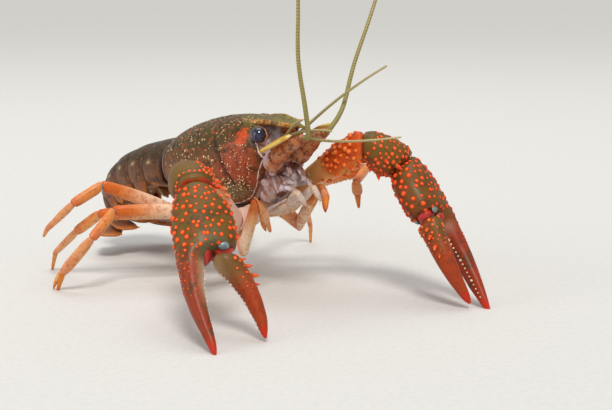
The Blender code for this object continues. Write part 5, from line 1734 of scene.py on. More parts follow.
    def build_jaw_foot(self, side: float, word: str) -> None:
        """The outer jaw foot, with teeth along its inner edge and tufts of bristle.

        Args:
            side: -1 on the right, 1 on the left.
            word: The side's name, right or left.
        """
        form = Form(17)
        points = [body(f, side * l, z) for f, l, z in self.jaw_foot]
        for index, widths in enumerate(self.jaw_widths):
            form.segment(points[index], points[index + 1], widths, SIDEWAYS, sides=24, count=16, rim=0.2)
        for share in spread(0.08, 0.95, 11):
            place = points[0].lerp(points[1], share) - SIDEWAYS * side * 1.45
            form.stud(place, Vector((-side, 0, -0.3)), 0.26, 0.6, Raised.SPINE)
        for share in spread(0.1, 0.95, 26):
            place = points[0].lerp(points[1], share) + Vector((side * form.vary(-0.9, 0.3), 0, -0.95))
            lean = Vector((form.vary(-0.3, 0.3), -0.4, -1)).normalized()
            size = form.vary(0.8, 1.4)
            form.stud(place, lean, 0.08, size, Raised.BRISTLE, pale=0.3)
        for share in spread(0.1, 0.95, 20):
            for index in (1, 2):
                place = points[index].lerp(points[index + 1], share)
                lean = Vector((-side * form.vary(0.2, 1), -0.3, -0.8)).normalized()
                form.stud(place + lean * 0.6, lean, 0.07, 0.95, Raised.BRISTLE, pale=0.3)
        moves = ((0, (1.9, 0, 0.2)), (0.6, (1.9, 0, 0.6)), (1, (1.4, -1, 1.2)))
        outer = [points[0].lerp(points[1], share) + Vector((side * x, y, z)) for share, (x, y, z) in moves]
        form.rod(smooth_path(outer, 6), spread(0.5, 0.16, 13), 10)
        form.done("toothed_jaw_foot_" + word, self.palette.wear("jaw"), "jaw_foot_" + word, on_body=True)

    def build_mouth(self) -> None:
        """The front of the head under the shell: lip plate, jaws, second jaw feet and folds of skin."""
        form = Form(19)
        profile = Profile(self.mouth)
        rings = []
        for forward in spread(31, 38.6, 30):
            half, top, bottom = profile.at(forward)
            centre = body(forward, 0, (top + bottom) * 0.5)
            rings.append(oval(centre, SIDEWAYS, UPWARD, half, (top - bottom) * 0.5, 44, 2.8))
        for vert in form.sleeve(rings):
            vert[form.crease] = 0.9 * ease(noise.noise(vert.co * 0.42), -0.05, 0.3)
        form.roughen(0.22, 0.8)
        for side, _ in SIDES:
            for forward, left, up, radii, around, rows in self.lobes:
                form.ball(body(forward, side * left, up), radii, None, 0, around, rows)
            for fold in range(7):
                start = body(36.8 + 0.35 * fold, side * (4.9 - 0.5 * fold), 5.2 - 0.25 * fold)
                end = body(37.8 + 0.5 * fold, side * (4.3 - 0.32 * fold), -0.6 + 0.15 * fold)
                middle = start.lerp(end, 0.5) + body(0.9, side * 0.5, form.vary(-0.5, 0.5))
                path = smooth_path([start, middle, end], 7)
                wide = form.vary(0.2, 0.42)
                radii = [wide * (0.5 + sin(pi * share)) for share in spread(0, 1, len(path))]
                form.rod(path, radii, 10, 0, 0 if fold % 2 else 0.7)
            form.ball(body(38.9, side * 0.9, 0.4), (0.9, 0.7, 0.9), None, 1, 20, 12)
            for level, out, reach in ((0, 3.3, 43), (1.6, 2.4, 42)):
                start = body(36.6, side * out, level)
                middle = body(40.2, side * (out + 0.3), level + 0.6)
                end = body(reach, side * (out - 0.9), level - 0.7)
                path = smooth_path([start, middle, end], 8)
                form.rod(path, [0.85, *[0.8 - 0.32 * s for s in spread(0, 1, len(path) - 2)], 0.25], 16)
            path = smooth_path([body(38.4, side * 2, 3.6), body(40.2, side * 2, 3.8), body(41.4, side * 1.5, 2.4)], 6)
            form.rod(path, spread(0.6, 0.22, len(path)), 12)
        form.ball(body(39, 0, 6.6), (2.2, 1.2, 0.8), None, 0, 28, 14, 0.8)
        form.ball(body(38.9, 0, 3.9), (1.1, 0.9, 1.2), None, 0, 20, 12)
        form.roughen(0.2, 0.9)
        for _ in range(150):
            side = form.rng.choice((-1, 1))
            place = body(form.vary(39.4, 42.4), side * form.vary(1, 3.6), form.vary(-0.4, 2.6))
            lean = body(1, -side * form.vary(0, 0.8), form.vary(-0.9, 0.1)).normalized()
            form.stud(place, lean, 0.05, form.vary(0.6, 1.1), Raised.BRISTLE)
        form.done("mouth_parts", self.palette.wear("mouth", "tooth"), "mouth_frame", on_body=True)

    def build(self) -> None:
        """Builds the whole face."""
        self.build_mouth()
        for side, word in SIDES:
            self.build_eye(side, word)
            self.build_antenna(side, word)
            self.build_antennule(side, word)
            self.build_scale(side, word)
            self.build_whip(word, side)
            self.build_jaw_foot(side, word)


@dataclass
class Claw:
    """One claw limb: arm, forearm, palm with its fixed finger, and thumb."""

    palette: Palette
    underside: Underside
    side: float
    word: str
    bend: Row
    elbow: Row
    wrist: Row
    tip: Row
    hinge: Row
    thumb_tip: Row
    palm_length: float
    palm_finish: str
    arm_finish: str
    seed: int
    # How far round the forearm its smooth back reaches.
    smooth: float
    short_widths: Rows = ((0, 2.5, 2.5), (0.6, 2.7, 2.4), (1, 2.5, 2.3))
    arm_widths: Rows = (
        (0, 2.4, 2.2), (0.12, 2.7, 2.3), (0.35, 3.4, 2.7), (0.65, 4.1, 3.2), (0.88, 4.05, 3.3), (1, 3.2, 3)
    )
    forearm_widths: Rows = ((0, 3.2, 3.1), (0.22, 4.6, 4.4), (0.5, 5.2, 4.8), (0.8, 4.8, 4.5), (1, 3.5, 3.3))
    # Palm and fixed finger: share, offset to the thumb's side, half width, half thickness.
    palm: Rows = (
        (0, 0, 3.2, 3), (0.045, 0.2, 4.6, 3.9), (0.11, 0.6, 6, 4.4), (0.2, 0.9, 6.8, 4.6), (0.3, 1, 6.9, 4.5),
        (0.37, 0.8, 6.5, 4.2), (0.405, -1.9, 3.9, 3.8), (0.46, -2.8, 2.9, 3.3), (0.58, -2.9, 2.4, 2.8),
        (0.72, -2.3, 1.9, 2.2), (0.86, -1.05, 1.3, 1.6), (0.95, -0.25, 0.8, 1), (1, 0, 0.28, 0.4)
    )
    palm_end: float = 0.405
    thumb_start: float = 0.425
    thumb_out: float = 4.4
    # Thumb: share, bow, half width, half thickness.
    thumb: Rows = (
        (0, 0, 2.2, 2.5), (0.07, 0.1, 2.8, 3), (0.25, 0.9, 2.5, 2.6), (0.5, 1.4, 2, 2.2),
        (0.75, 1.1, 1.5, 1.6), (0.92, 0.4, 0.9, 1), (1, 0, 0.3, 0.35)
    )
    knob: Row = (0.56, 0.27)
    knob_apart: float = 1.78
    # Between which shares the fixed finger's pale inner face fades.
    pale_run: Row = (0.58, 0.8)

    def place(self) -> None:
        """Works out the limb's joints and the planes between them."""
        self.at_bend, self.at_elbow, self.at_wrist = Vector(self.bend), Vector(self.elbow), Vector(self.wrist)
        self.at_tip = Vector(self.tip)
        arm = (self.at_elbow - self.at_bend).normalized()
        fore = (self.at_wrist - self.at_elbow).normalized()
        self.palm_axis = (self.at_tip - self.at_wrist).normalized()
        self.medial = across_axis(self.palm_axis, Vector(self.hinge) - self.at_wrist)
        self.elbow_plane = (arm + fore).normalized()
        self.wrist_plane = (fore + self.palm_axis).normalized()
        self.length = (self.at_tip - self.at_wrist).length
        self.facing = 0 if self.side < 0 else pi

    def share(self, share: float) -> float:
        """A share of the claw's length, with the palm as long as this claw's is.

        Args:
            share: A share of the common claw's length.

        Returns:
            The share of this claw's length.
        """
        end = self.palm_end * self.palm_length
        if share <= self.palm_end:
            return share * self.palm_length
        return end + (share - self.palm_end) * (1 - end) / (1 - self.palm_end)

    def spot(self, share: float, out: float) -> Vector:
        """A place at a share of the palm and finger, moved out towards the thumb."""
        return self.at_wrist + self.palm_axis * (self.share(share) * self.length) + self.medial * out

    def build_arm(self) -> None:
        """The short joint at the body and the long arm, with knobs above and spines below."""
        form = Form(self.seed)
        base, axis = self.underside.base(0, self.side)
        along = (self.at_elbow - self.at_bend).normalized()
        short = (self.at_bend - base).normalized()
        normal = (short + along).normalized()
        form.segment(base + axis * GAP, self.at_bend, self.short_widths, UPWARD, (axis, normal), rim=0.2, pale=0.75)
        far = self.at_elbow - self.elbow_plane * GAP
        for vert in form.segment(
            self.at_bend, far, self.arm_widths, UPWARD, (normal, self.elbow_plane), 40, 44, 2.3, rim=0.14
        ):
            form.fade(vert, 0.85 * (1 - ease(vert[form.paint][0], 0.28, 0.45)))
        form.ball(self.at_bend, (2.15, 2.15, 2.15), None, 1)
        form.ball(self.at_elbow, (2.3, 2.3, 2.3), None, 1)
        tree = form.tree()
        across = across_axis(along, UPWARD)
        reach = (far - self.at_bend).length
        rows = spread(reach * 0.34, reach - 0.7, 9)

        def knob_size(distance: float, turn: float) -> tuple[float, float]:
            """Larger knobs towards the elbow and along the upper edge."""
            size = (0.46 + 0.26 * distance / reach) * (0.9 + 0.1 * cos(turn))
            return size, size * 0.8

        form.studs_round(tree, self.at_bend, along, across, rows, 1.95, knob_size, reach, 3.4, (-2.3, 2.3))

        def spine_size(distance: float, turn: float) -> tuple[float, float]:
            """Longer spines towards the elbow."""
            return 0.34 + 0.22 * distance / reach, 0.7 + 1 * distance / reach

        rows = spread(4, reach - 1, 7)
        form.studs_round(
            tree, self.at_bend, along, -across, rows, 2.6, spine_size, reach, 3.2, (-0.75, 0.85), Raised.SPINE, 0.5
        )
        name = "claw_arm_" + self.word
        form.roughen(0.06, 0.4)
        form.done(name + "_shell", self.palette.wear(self.arm_finish, "red_skin"), name)

    def build_forearm(self) -> None:
        """The short domed forearm with its two long spines on the inner side."""
        form = Form(self.seed + 1)
        start = self.at_elbow + self.elbow_plane * GAP
        end = self.at_wrist - self.wrist_plane * GAP
        normals = (self.elbow_plane, self.wrist_plane)
        verts = form.segment(
            start, end, self.forearm_widths, self.medial, normals, 44, 40, 2.2, rim=0.16, facing=self.facing
        )
        for vert in verts:
            share = vert[form.paint][0]
            vert[form.crease] = 0.5 * bell(share - 0.87, 0.02)
        form.ball(self.at_wrist, (2.4, 2.4, 2.4), None, 1)
        form.ball(self.at_wrist + self.medial * 1.9 - UPWARD * 0.5, (2.1, 1.7, 2.1), None, 1)
        tree = form.tree()
        along = (end - start).normalized()
        across = across_axis(along, self.medial)
        reach = (end - start).length

        def knob_size(distance: float, turn: float) -> tuple[float, float]:
            """Knobs are large on the inner side and nearly gone on the smooth back.

            Args:
                distance: How far along the axis it stands; not used.
                turn: How far round the axis it stands.

            Returns:
                Its radius and height.
            """
            inner = 0.5 + 0.5 * cos(turn)
            size = (0.18 if inner < 0.35 else 0.22) + 0.34 * inner**1.5
            return (0 if inner < self.smooth else size), size * 0.62

        form.studs_round(tree, start, along, across, spread(0.9, reach - 0.8, 7), 1.5, knob_size, reach, 4.7)
        form.studs_round(tree, start, along, across, [reach * 0.91], 1.1, lambda d, t: (0.34, 0.2), reach, 4.2)
        for share, radius, height, lean in ((0.74, 0.75, 2.1, 0.35), (0.46, 0.7, 1.9, 0.2), (0.62, 0.45, 1.1, 0.3)):
            turn = 0 if height > 1.5 else 0.7
            outward = across * cos(turn) + along.cross(across) * sin(turn)
            form.plant(tree, start.lerp(end, share), outward, radius, height, Raised.SPINE, along * lean, 0.6)
        below = (self.medial * 0.7 - UPWARD).normalized()
        for share, radius, height in ((0.3, 0.6, 1.1), (0.52, 0.8, 1.6), (0.8, 0.7, 2)):
            form.plant(tree, start.lerp(end, share), below, radius, height, Raised.SPINE, along * 0.3, 0.6)
        form.roughen(0.06, 0.4)
        name = "claw_forearm_" + self.word
        skin = "red_skin" if self.side < 0 else "pink_skin"
        form.done(name + "_shell", self.palette.wear("forearm", skin), name)

    def build_palm(self) -> None:
        """The broad palm and the fixed finger, thick with knobs, with a row of teeth."""
        form = Form(self.seed + 2)
        thick_way = self.palm_axis.cross(self.medial)
        profile = Profile(self.palm)
        rings, shares = [], []
        for share in [0, 0.004, 0.012, *spread(0.02, 0.99, 96), 0.996, 1]:
            out, half, thick = profile.at(share)
            scale = 1 - 0.14 * (1 - ease(share, 0, 0.02)) ** 2
            centre = self.spot(share, out)
            ring = oval(centre, self.medial, thick_way, half * scale, thick * scale, 48, 2.2)
            ring = [p + self.wrist_plane * GAP * (1 - ease(share, 0, 0.05)) for p in ring]
            if share < 0.05:
                flat = mitred(ring, centre, self.palm_axis, self.wrist_plane)
                ring = [a.lerp(b, share / 0.05) for a, b in zip(flat, ring)]
            rings.append(ring)
            shares.append(share)
        for index, vert in enumerate(form.sleeve(rings, shares, facing=self.facing)):
            share = shares[index // 48]
            turn = tau * (index % 48) / 48
            finger = ease(share, 0.44, 0.5) * (1 - ease(share, 0.9, 0.98))
            line = min(abs(abs(turn - pi) - 2.2), abs(abs(turn - pi) - 1.25))
            vert[form.crease] = 0.14 * finger * bell(line, 0.09)
            inner = max(0, cos(turn)) ** 1.6
            inner *= 1 - ease(share, *self.pale_run)
            form.fade(vert, 0.8 * finger * inner)
        tree = form.tree()

        def knob_size(distance: float, turn: float) -> tuple[float, float]:
            """Knobs are larger along both edges of the palm.

            Args:
                distance: How far along the axis it stands; not used.
                turn: How far round the axis it stands.

            Returns:
                Its radius and height.
            """
            edge = abs(cos(turn)) ** 3
            size = self.knob[0] * (0.84 + 0.26 * edge)
            return size, size * (self.knob[1] / self.knob[0]) * (1 + 0.5 * edge)

        end = self.share(self.palm_end) * self.length
        rows = spread(1.3, end - 0.9, round((end - 2.2) / (self.knob_apart * 0.87)))
        start = self.at_wrist + self.medial * 0.8
        form.studs_round(tree, start, self.palm_axis, self.medial, rows, self.knob_apart, knob_size, self.length, 5.4)

        def finger_size(distance: float, turn: float) -> tuple[float, float]:
            """Knobs shrink towards the finger's tip.

            Args:
                distance: How far along the axis it stands.
                turn: How far round the axis it stands; not used.

            Returns:
                Its radius and height.
            """
            left = 1 - (distance - end) / (self.length - end)
            size = 0.5 * max(0, left - 0.34) ** 0.8
            return (size if size > 0.13 else 0), size * 0.7

        line = self.at_wrist - self.medial * 2.6
        rows = spread(end + 0.4, self.length * 0.93, 17)
        form.studs_round(
            tree, line, self.palm_axis, -self.medial, rows, 1.35, finger_size, self.length, 2.5, (-1.7, 1.7)
        )
        for index in range(17):
            share = 0.5 + 0.026 * index
            out = profile.at(share)[0]
            size = (0.44 if index % 5 == 2 else 0.3) * (1 - 0.35 * index / 17)
            form.plant(tree, self.spot(share, out), self.medial, size, size * 1.1, share=share, pale=1, finish=1)
        root = self.at_wrist + self.palm_axis * (self.share(self.palm_end) * self.length - 0.5)
        form.ball(root + self.medial * self.thumb_out, (2.1, 2.1, 2.1), None, 2)
        for lift in (-1, 1):
            knuckle = root + self.medial * (self.thumb_out - 0.1) + thick_way * lift * 2.75
            turn = (thick_way * lift + self.palm_axis * 0.5).to_track_quat("Z", "Y").to_matrix()
            form.ball(knuckle, (1.25, 0.9, 0.5), turn, 3, 20, 12)
        web = root + self.medial * 0.3 + self.palm_axis * 0.5
        turn = Matrix((self.medial, thick_way, self.palm_axis)).transposed()
        form.ball(web, (1.6, 2.7, 2.4), turn, 2, 28, 16)
        form.roughen(0.07, 0.35)
        name = "claw_palm_" + self.word
        form.done(name + "_shell", self.palette.wear(self.palm_finish, "tooth", "red_skin", "blue_skin"), name)

    def build_thumb(self) -> None:
        """The moving finger, with spines on its outer edge and teeth inside."""
        form = Form(self.seed + 3)
        root = self.spot(self.thumb_start, self.thumb_out)
        reach = (Vector(self.thumb_tip) - root).length
        axis = (Vector(self.thumb_tip) - root) / reach
        outer = across_axis(axis, self.medial)
        profile = Profile(self.thumb)
        rings, shares = [], []
        for share in [0, 0.004, 0.012, 0.025, *spread(0.045, 0.985, 64), 0.994, 1]:
            out, half, thick = profile.at(share)
            scale = 1 - 0.2 * (1 - ease(share, 0, 0.035)) ** 2
            centre = root + axis * (share * reach) + outer * out
            ring = oval(centre, outer, axis.cross(outer), half * scale, thick * scale, 40, 2.2)
            if share < 0.12:
                flat = mitred(ring, centre, axis, self.palm_axis)
                ring = [a.lerp(b, share / 0.12) for a, b in zip(flat, ring)]
            rings.append(ring)
            shares.append(share)
        for index, vert in enumerate(form.sleeve(rings, shares, facing=self.facing)):
            share = shares[index // 40]
            turn = tau * (index % 40) / 40
            line = min(abs(abs(turn - pi) - 0.95), abs(abs(turn - pi) - 1.9))
            run = ease(share, 0.08, 0.16) * (1 - ease(share, 0.88, 0.97))
            vert[form.crease] = 0.14 * run * bell(line, 0.1)
            inner = max(0, -cos(turn)) ** 3 * (1 - ease(share, 0.05, 0.35))
            form.fade(vert, 0.55 * inner)
        tree = form.tree()

        def knob_size(distance: float, turn: float) -> tuple[float, float]:
            """Knobs shrink towards the tip."""
            size = 0.5 * max(0, 1 - distance / reach / 0.62)
            return (size if size > 0.12 else 0), size * 0.7

        rows = spread(0.8, reach * 0.9, 17)
        form.studs_round(tree, root, axis, outer, rows, 1.45, knob_size, reach, 2.4, (-1.5, 1.5))
        for share, size in ((0.1, 0.55), (0.19, 0.66), (0.31, 0.72), (0.42, 0.4)):
            spot = root + axis * (share * reach) + outer
            form.plant(tree, spot, outer, size, size * 2.9, Raised.SPINE, axis * 0.5, share)
        for index in range(16):
            share = 0.16 + 0.05 * index
            size = (0.42 if index % 5 == 3 else 0.29) * (1 - 0.35 * index / 16)
            spot = root + axis * (share * reach) + outer * 0.8
            form.plant(tree, spot, -outer, size, size * 1.1, share=share, pale=1, finish=1)
        form.roughen(0.06, 0.4)
        name = "claw_thumb_" + self.word
        form.done(name + "_shell", self.palette.wear("thumb", "tooth"), name)

    def build(self) -> None:
        """Builds the whole limb."""
        self.place()
        self.build_arm()
        self.build_forearm()
        self.build_palm()
        self.build_thumb()


# Each leg's bend after the base, knee, ankle, root of the toe, and toe.
LEGS: dict[str, Rows] = {
    "leg_2_right": (
        (-8.8, -10.3, 11.3), (-10.9, -17.9, 23), (-8.1, -16.5, 21.3), (-4.8, -14.1, 18.1), (-2.5, -12.7, 14.9)
    ),
    "leg_3_right": (
        (-10.4, 4.8, 18.2), (-30.2, 14, 19.4), (-37.6, 12.4, 13.9), (-41.8, 19.8, 4.6), (-42, 22.2, -0.35)
    ),
    "leg_4_right": (
        (-10.2, 10.8, 17.2), (-29, 23.2, 17.2), (-31.4, 30.4, 12.2), (-32.4, 40, 5.2), (-31.6, 43.6, -0.35)
    ),
    "leg_5_right": (
        (-9.8, 15.6, 16.4), (-27.8, 23.4, 24.4), (-35.2, 25.2, 20.4), (-37.8, 33.8, 13.2), (-37, 37.6, 10.4)
    ),
    "leg_2_left": ((12, -6.2, 14.3), (9, -17.5, 25), (6.6, -22, 25), (4.6, -25.2, 23.9), (2.9, -27.2, 21.8)),
    "leg_3_left": (
        (13.2, 3.4, 20.8), (27.6, -13.8, 27.6), (20.7, -18, 25.6), (21.5, -17.7, 22.2), (22.4, -17.2, 18.6)
    ),
    "leg_4_left": ((13.4, 10.2, 19.4), (30.4, 19.6, 22.4), (37, 22.6, 15.6), (42.4, 25.6, 5), (43.6, 27, -0.35)),
    "leg_5_left": ((12.6, 17, 18.4), (25.2, 32.8, 21.6), (29.4, 38.6, 16), (33.4, 46.6, 5.2), (33.6, 49.8, -0.35)),
}


@dataclass
class Legs:
    """The eight walking legs; the front two pairs end in small pincers."""

    palette: Palette
    underside: Underside
    short: Rows = ((0, 1.8, 1.8), (0.5, 1.7, 1.65), (1, 1.7, 1.4))
    upper: Rows = ((0, 1.45, 1.25), (0.15, 1.6, 1.25), (0.5, 1.75, 1.2), (0.85, 1.55, 1.15), (1, 1.3, 1.1))
    shin: Rows = ((0, 1.15, 1), (0.25, 1.35, 1.05), (0.8, 1.3, 1), (1, 1.1, 0.95))
    hand: Rows = ((0, 0.85, 0.8), (0.3, 1, 0.85), (0.85, 0.8, 0.7), (1, 0.7, 0.65))
    hand_pincer: Rows = ((0, 0.85, 0.8), (0.3, 1.3, 0.95), (0.75, 1.35, 0.95), (1, 0.95, 0.8))
    toe: Rows = ((0, 0.66, 0.6), (0.5, 0.5, 0.46), (0.9, 0.33, 0.32), (1, 0.22, 0.22))
    toe_pincer: Rows = ((0, 0.85, 0.75), (0.5, 0.6, 0.6), (0.9, 0.38, 0.38), (1, 0.22, 0.22))
    set_back: float = 1.6
    opened: float = 1.1
    bristles: int = 14

    def build_leg(self, name: str) -> None:
        """One leg in two pieces that meet at the knee.

        Args:
            name: The leg's name, such as leg_2_left.
        """
        side = -1 if name.endswith("right") else 1
        number = int(name[4])
        base, axis = self.underside.base(number - 1, side)
        bend, knee, ankle, toe_root, toe = (Vector(p) for p in LEGS[name])
        thigh = (knee - bend).normalized()
        shin = (ankle - knee).normalized()
        plane = (thigh + shin).normalized()
        form = Form(30 + number)
        near = ((bend - base).normalized() + thigh).normalized()
        form.segment(base + axis * GAP, bend, self.short, UPWARD, (axis, near), 24, 14, rim=0.24, pale=0.35)
        for vert in form.segment(
            bend, knee - plane * GAP, self.upper, UPWARD, (near, plane), 24, 24, 2.2, UPWARD * 0.3, 0.6, 0.24
        ):
            form.fade(vert, 0.85 * (1 - ease(vert[form.paint][0], 0.3, 0.85)))
        form.ball(bend, (1, 1, 1), None, 1, 18, 10)
        form.ball(knee, (0.8, 0.8, 0.8), None, 1, 18, 10)
        form.roughen(0.07, 0.6)
        across = across_axis(thigh, UPWARD)
        for distance in spread(1, (knee - bend).length - 1.4, 26):
            for edge in (1, -1):
                spot = bend + thigh * (distance + form.vary(-0.3, 0.3)) + across * edge * 1.5
                size = form.vary(0.1, 0.2)
                form.stud(spot, across * edge + thigh * 0.3, size, size * 0.9, Raised.KNOB, distance / 24)
        form.done(name + "_upper_shell", self.palette.wear("leg", "blue_skin"), name + "_upper")
        form = Form(40 + number)
        hint = across_axis(shin, UPWARD + thigh * 0.2)
        pincer = number < 4
        hand = (toe_root - ankle).normalized()
        wrist = (shin + hand).normalized()
        form.segment(knee + plane * GAP, ankle, self.shin, hint, (plane, wrist), 24, 18, rim=0.24, pale=0.1)
        widths = self.hand_pincer if pincer else self.hand
        form.segment(ankle, toe_root, widths, hint, (wrist, None), 24, 24, rim=0.22, pale=0.25)
        form.ball(ankle, (0.64, 0.64, 0.64), None, 1, 16, 10)
        form.ball(toe_root, (0.5, 0.5, 0.5), None, 1, 16, 10)
        claw = self.toe_pincer if pincer else self.toe
        along = (toe - toe_root).normalized()
        form.segment(toe_root, toe, claw, hint, (hand, None), 20, 20, rim=0.2)
        if pincer:
            out = across_axis(along, Vector((side * 0.6, 0.8, 0.2)))
            root = toe_root - hand * self.set_back + out * 0.2
            point = toe + out * self.opened - along * 0.2
            radii = [0.5, 0.74, 0.74, 0.7, 0.62, 0.54, 0.44, 0.32, 0.16]
            form.rod(bow(root, point, out * 0.5, 8), radii, 16)
        for index in range(self.bristles):
            share = form.vary(0.1, 0.95)
            at_hand = index % 2 == 0
            place = ankle.lerp(toe_root, share) if at_hand else toe_root.lerp(toe, share * 0.7)
            around = Matrix.Rotation(form.vary(0, tau), 3, hand) @ across_axis(hand, UPWARD)
            start = place + around * (0.6 if at_hand else 0.34)
            lean = (around * 0.7 + hand).normalized()
            size = form.vary(0.5, 0.9)
            form.stud(start, lean, 0.055, size, Raised.BRISTLE, pale=0.2)
        form.roughen(0.04, 0.6)
        form.done(name + "_lower_shell", self.palette.wear("leg", "blue_skin"), name + "_lower")

    def build(self) -> None:
        """Builds all eight."""
        for name in LEGS:
            self.build_leg(name)


@dataclass
class Tail:
    """The abdomen's six rings with their flaps and small limbs, and the folded fan."""

    palette: Palette
    sideways: float = -0.4
    joints: Rows = ((24.1, 26.6), (32, 25.6), (39.6, 23.9), (46.2, 21.7), (51.4, 18.6), (54.8, 14.9), (54.9, 11.2))
    half_width: Row = (9.6, 9.7, 9.5, 9.1, 8.5, 7.7, 6.4)
    arch: Row = (7.6, 7.6, 7.3, 6.9, 6.3, 5.4, 4)
    belly: Row = (4.6, 4.4, 4.2, 4, 3.7, 3.2, 2.2)
    arch_power: float = 0.8
    swell: float = 0.035
    flap_drop: Row = (3, 6, 6.2, 5.8, 5, 3)
    flap_share: float = 0.86
    flap_thick: float = 1
    flap_inset: float = 0.9
    flap_outline: Rows = (
        (-0.42, 0), (0.42, 0), (0.46, 0.35), (0.4, 0.7), (0.16, 0.96), (-0.02, 1), (-0.26, 0.8), (-0.42, 0.45)
    )
    swim_lean: Row = (1.6, 1.3, 0.9, 0.7, 0.5)
    swim_length: Row = (7, 6.4, 4.8, 4.2, 3.4)
    fan_heading: float = radians(184)
    fan_set_back: float = 1.6
    # Name, side, turned out, sideways, raised, length, half width.
    plates: tuple[tuple[str, float, float, float, float, float, float], ...] = (
        ("telson", 0, 0, 0, 0, 11, 4.3), ("tail_inner_right", -1, 14, 4.6, 1.4, 11, 3.2),
        ("tail_inner_left", 1, 14, 4.6, 1.4, 11, 3.2), ("tail_outer_right", -1, 34, 6.6, 2.8, 11.5, 3.5),
        ("tail_outer_left", 1, 34, 6.6, 2.8, 11.5, 3.5)
    )
    plate_thick: float = 1
    plate_outline: Rows = (
        (-0.55, 0), (0.55, 0), (0.92, 0.2), (1, 0.5), (0.94, 0.78), (0.66, 0.96), (0.22, 1), (-0.22, 1),
        (-0.66, 0.96), (-0.94, 0.78), (-1, 0.5), (-0.92, 0.2)
    )

    def frame(self, index: int, share: float) -> tuple[Vector, Vector, Vector]:
        """Centre, heading along the tail, and sideways axis at one place.

        Args:
            index: Which ring of the tail, from the front.
            share: How far along that ring.

        Returns:
            The three vectors.
        """
        points = [Vector((self.sideways, y, z)) for y, z in self.joints]
        start, end = points[index], points[index + 1]
        along = (end - start).normalized()
        turned = CARRIAGE.roll * (1 - (index + share) / 6)
        across = across_axis(along, Vector((cos(turned), 0, sin(turned))))
        return start.lerp(end, share), along, across

    def ring(self, index: int, share: float, planes: tuple[Vector, Vector], scale: float) -> list[Vector]:
        """One ring of a section, turned gradually from its front joint's plane to its hind one's.

        Args:
            index: Which ring of the tail, from the front.
            share: How far along that ring.
            planes: The planes of its front and hind joints.
            scale: How much larger or smaller it is.

        Returns:
            Its points.
        """
        centre, along, across = self.frame(index, share)
        up = across.cross(along)
        swell = (1 + self.swell * sin(pi * share)) * scale
        sizes = []
        for row in (self.half_width, self.arch, self.belly):
            sizes.append(row[index] * (1 - share) + row[index + 1] * share)
        ring = []
        for step in range(72):
            turn = tau * step / 72
            x = power(cos(turn), self.arch_power) * sizes[0] * swell
            s = sin(turn)
            z = power(s, self.arch_power) * (sizes[1] * swell if s > 0 else sizes[2])
            ring.append(centre + across * x + up * z)
        front = mitred(ring, centre, along, planes[0])
        back = mitred(ring, centre, along, planes[1])
        return [a.lerp(b, share) for a, b in zip(front, back)]

    def build_section(self, index: int) -> None:
        """One ring of the abdomen.

        Args:
            index: Which ring of the tail, from the front.
        """
        form = Form(60 + index)
        centre, along, across = self.frame(index, 0.5)
        before = self.frame(index - 1, 0.5)[1] if index else along
        after = self.frame(index + 1, 0.5)[1] if index < 5 else along
        hind = (CARRIAGE.matrix().to_3x3() @ Vector((0, 1, 0))).normalized()
        planes = ((before + along).normalized() if index else hind, (after + along).normalized())
        rings, shares = [], []
        steps = ((0.03, 0.86), (0.035, 0.92), (0.06, 0.955), (0.12, 0.972), (0.2, 0.982))
        steps += tuple((s, 0.985 + 0.025 * ease(s, 0.25, 0.9)) for s in spread(0.26, 0.9, 16))
        steps += ((0.93, 1.012), (0.955, 1.006), (0.965, 0.985), (0.966, 0.93))
        for share, scale in steps:
            rings.append(self.ring(index, share, planes, scale))
            shares.append(share)
        up = across.cross(along)
        for count, vert in enumerate(form.sleeve(rings, shares)):
            share = shares[count // 72]
            turn = tau * (count % 72) / 72
            line = bell(share - 0.24, 0.03)
            # Painted shade in the groove across the ring, at its front end under the ring before, and where its hind
            # edge turns under.
            crease = 0.6 * line + 0.8 * (1 - ease(share, 0.03, 0.1))
            vert[form.crease] = min(1, crease + 0.25 * ease(share, 0.94, 0.97))
            spot = bell(share - 0.6, 0.1) * bell(abs(cos(turn)) - 0.93, 0.02)
            form.fade(vert, 0.8 * spot * (1 if sin(turn) > 0 else 0))
            vert.co -= up * 0.06 * line
        half = self.half_width[index] * 0.5 + self.half_width[index + 1] * 0.5
        drop = self.flap_drop[index]
        length = (self.frame(index, 1)[0] - self.frame(index, 0)[0]).length * self.flap_share
        for side, _ in SIDES:
            top = centre + across * (side * (half - self.flap_inset)) + up
            outline = tuple((x * length, y * (drop + 1)) for x, y in self.flap_outline)
            form.blade(outline, self.flap_thick, frame_of(along, -up, across * side, top), 0.25, 1)
        if index < 5:
            for side, _ in SIDES:
                root = centre + across * (side * half * 0.42) - up * (self.belly[index] - 0.9)
                lean = (-up - along * self.swim_lean[index] + across * side * 0.15).normalized()
                middle = root + lean * self.swim_length[index] * 0.45
                end = root + lean * self.swim_length[index]
                form.segment(root, middle, ((0, 0.9, 0.7), (1, 0.75, 0.58)), across, sides=18, count=8)
                thin = ((0, 0.75, 0.55), (0.4, 0.9, 0.4), (1, 0.36, 0.26))
                form.segment(middle, end, thin, across, sides=18, count=12, pale=0.4)
                thin = ((0, 0.5, 0.4), (0.4, 0.6, 0.3), (1, 0.26, 0.2))
                other = end + across * side * 1.1 + up * 0.5
                form.segment(middle, other, thin, across, sides=16, count=10, pale=0.4)
        form.roughen(0.06, 0.4)
        name = f"abdomen_{index + 1}"
        form.done(name + "_shell", self.palette.wear("tail", "fan"), name)

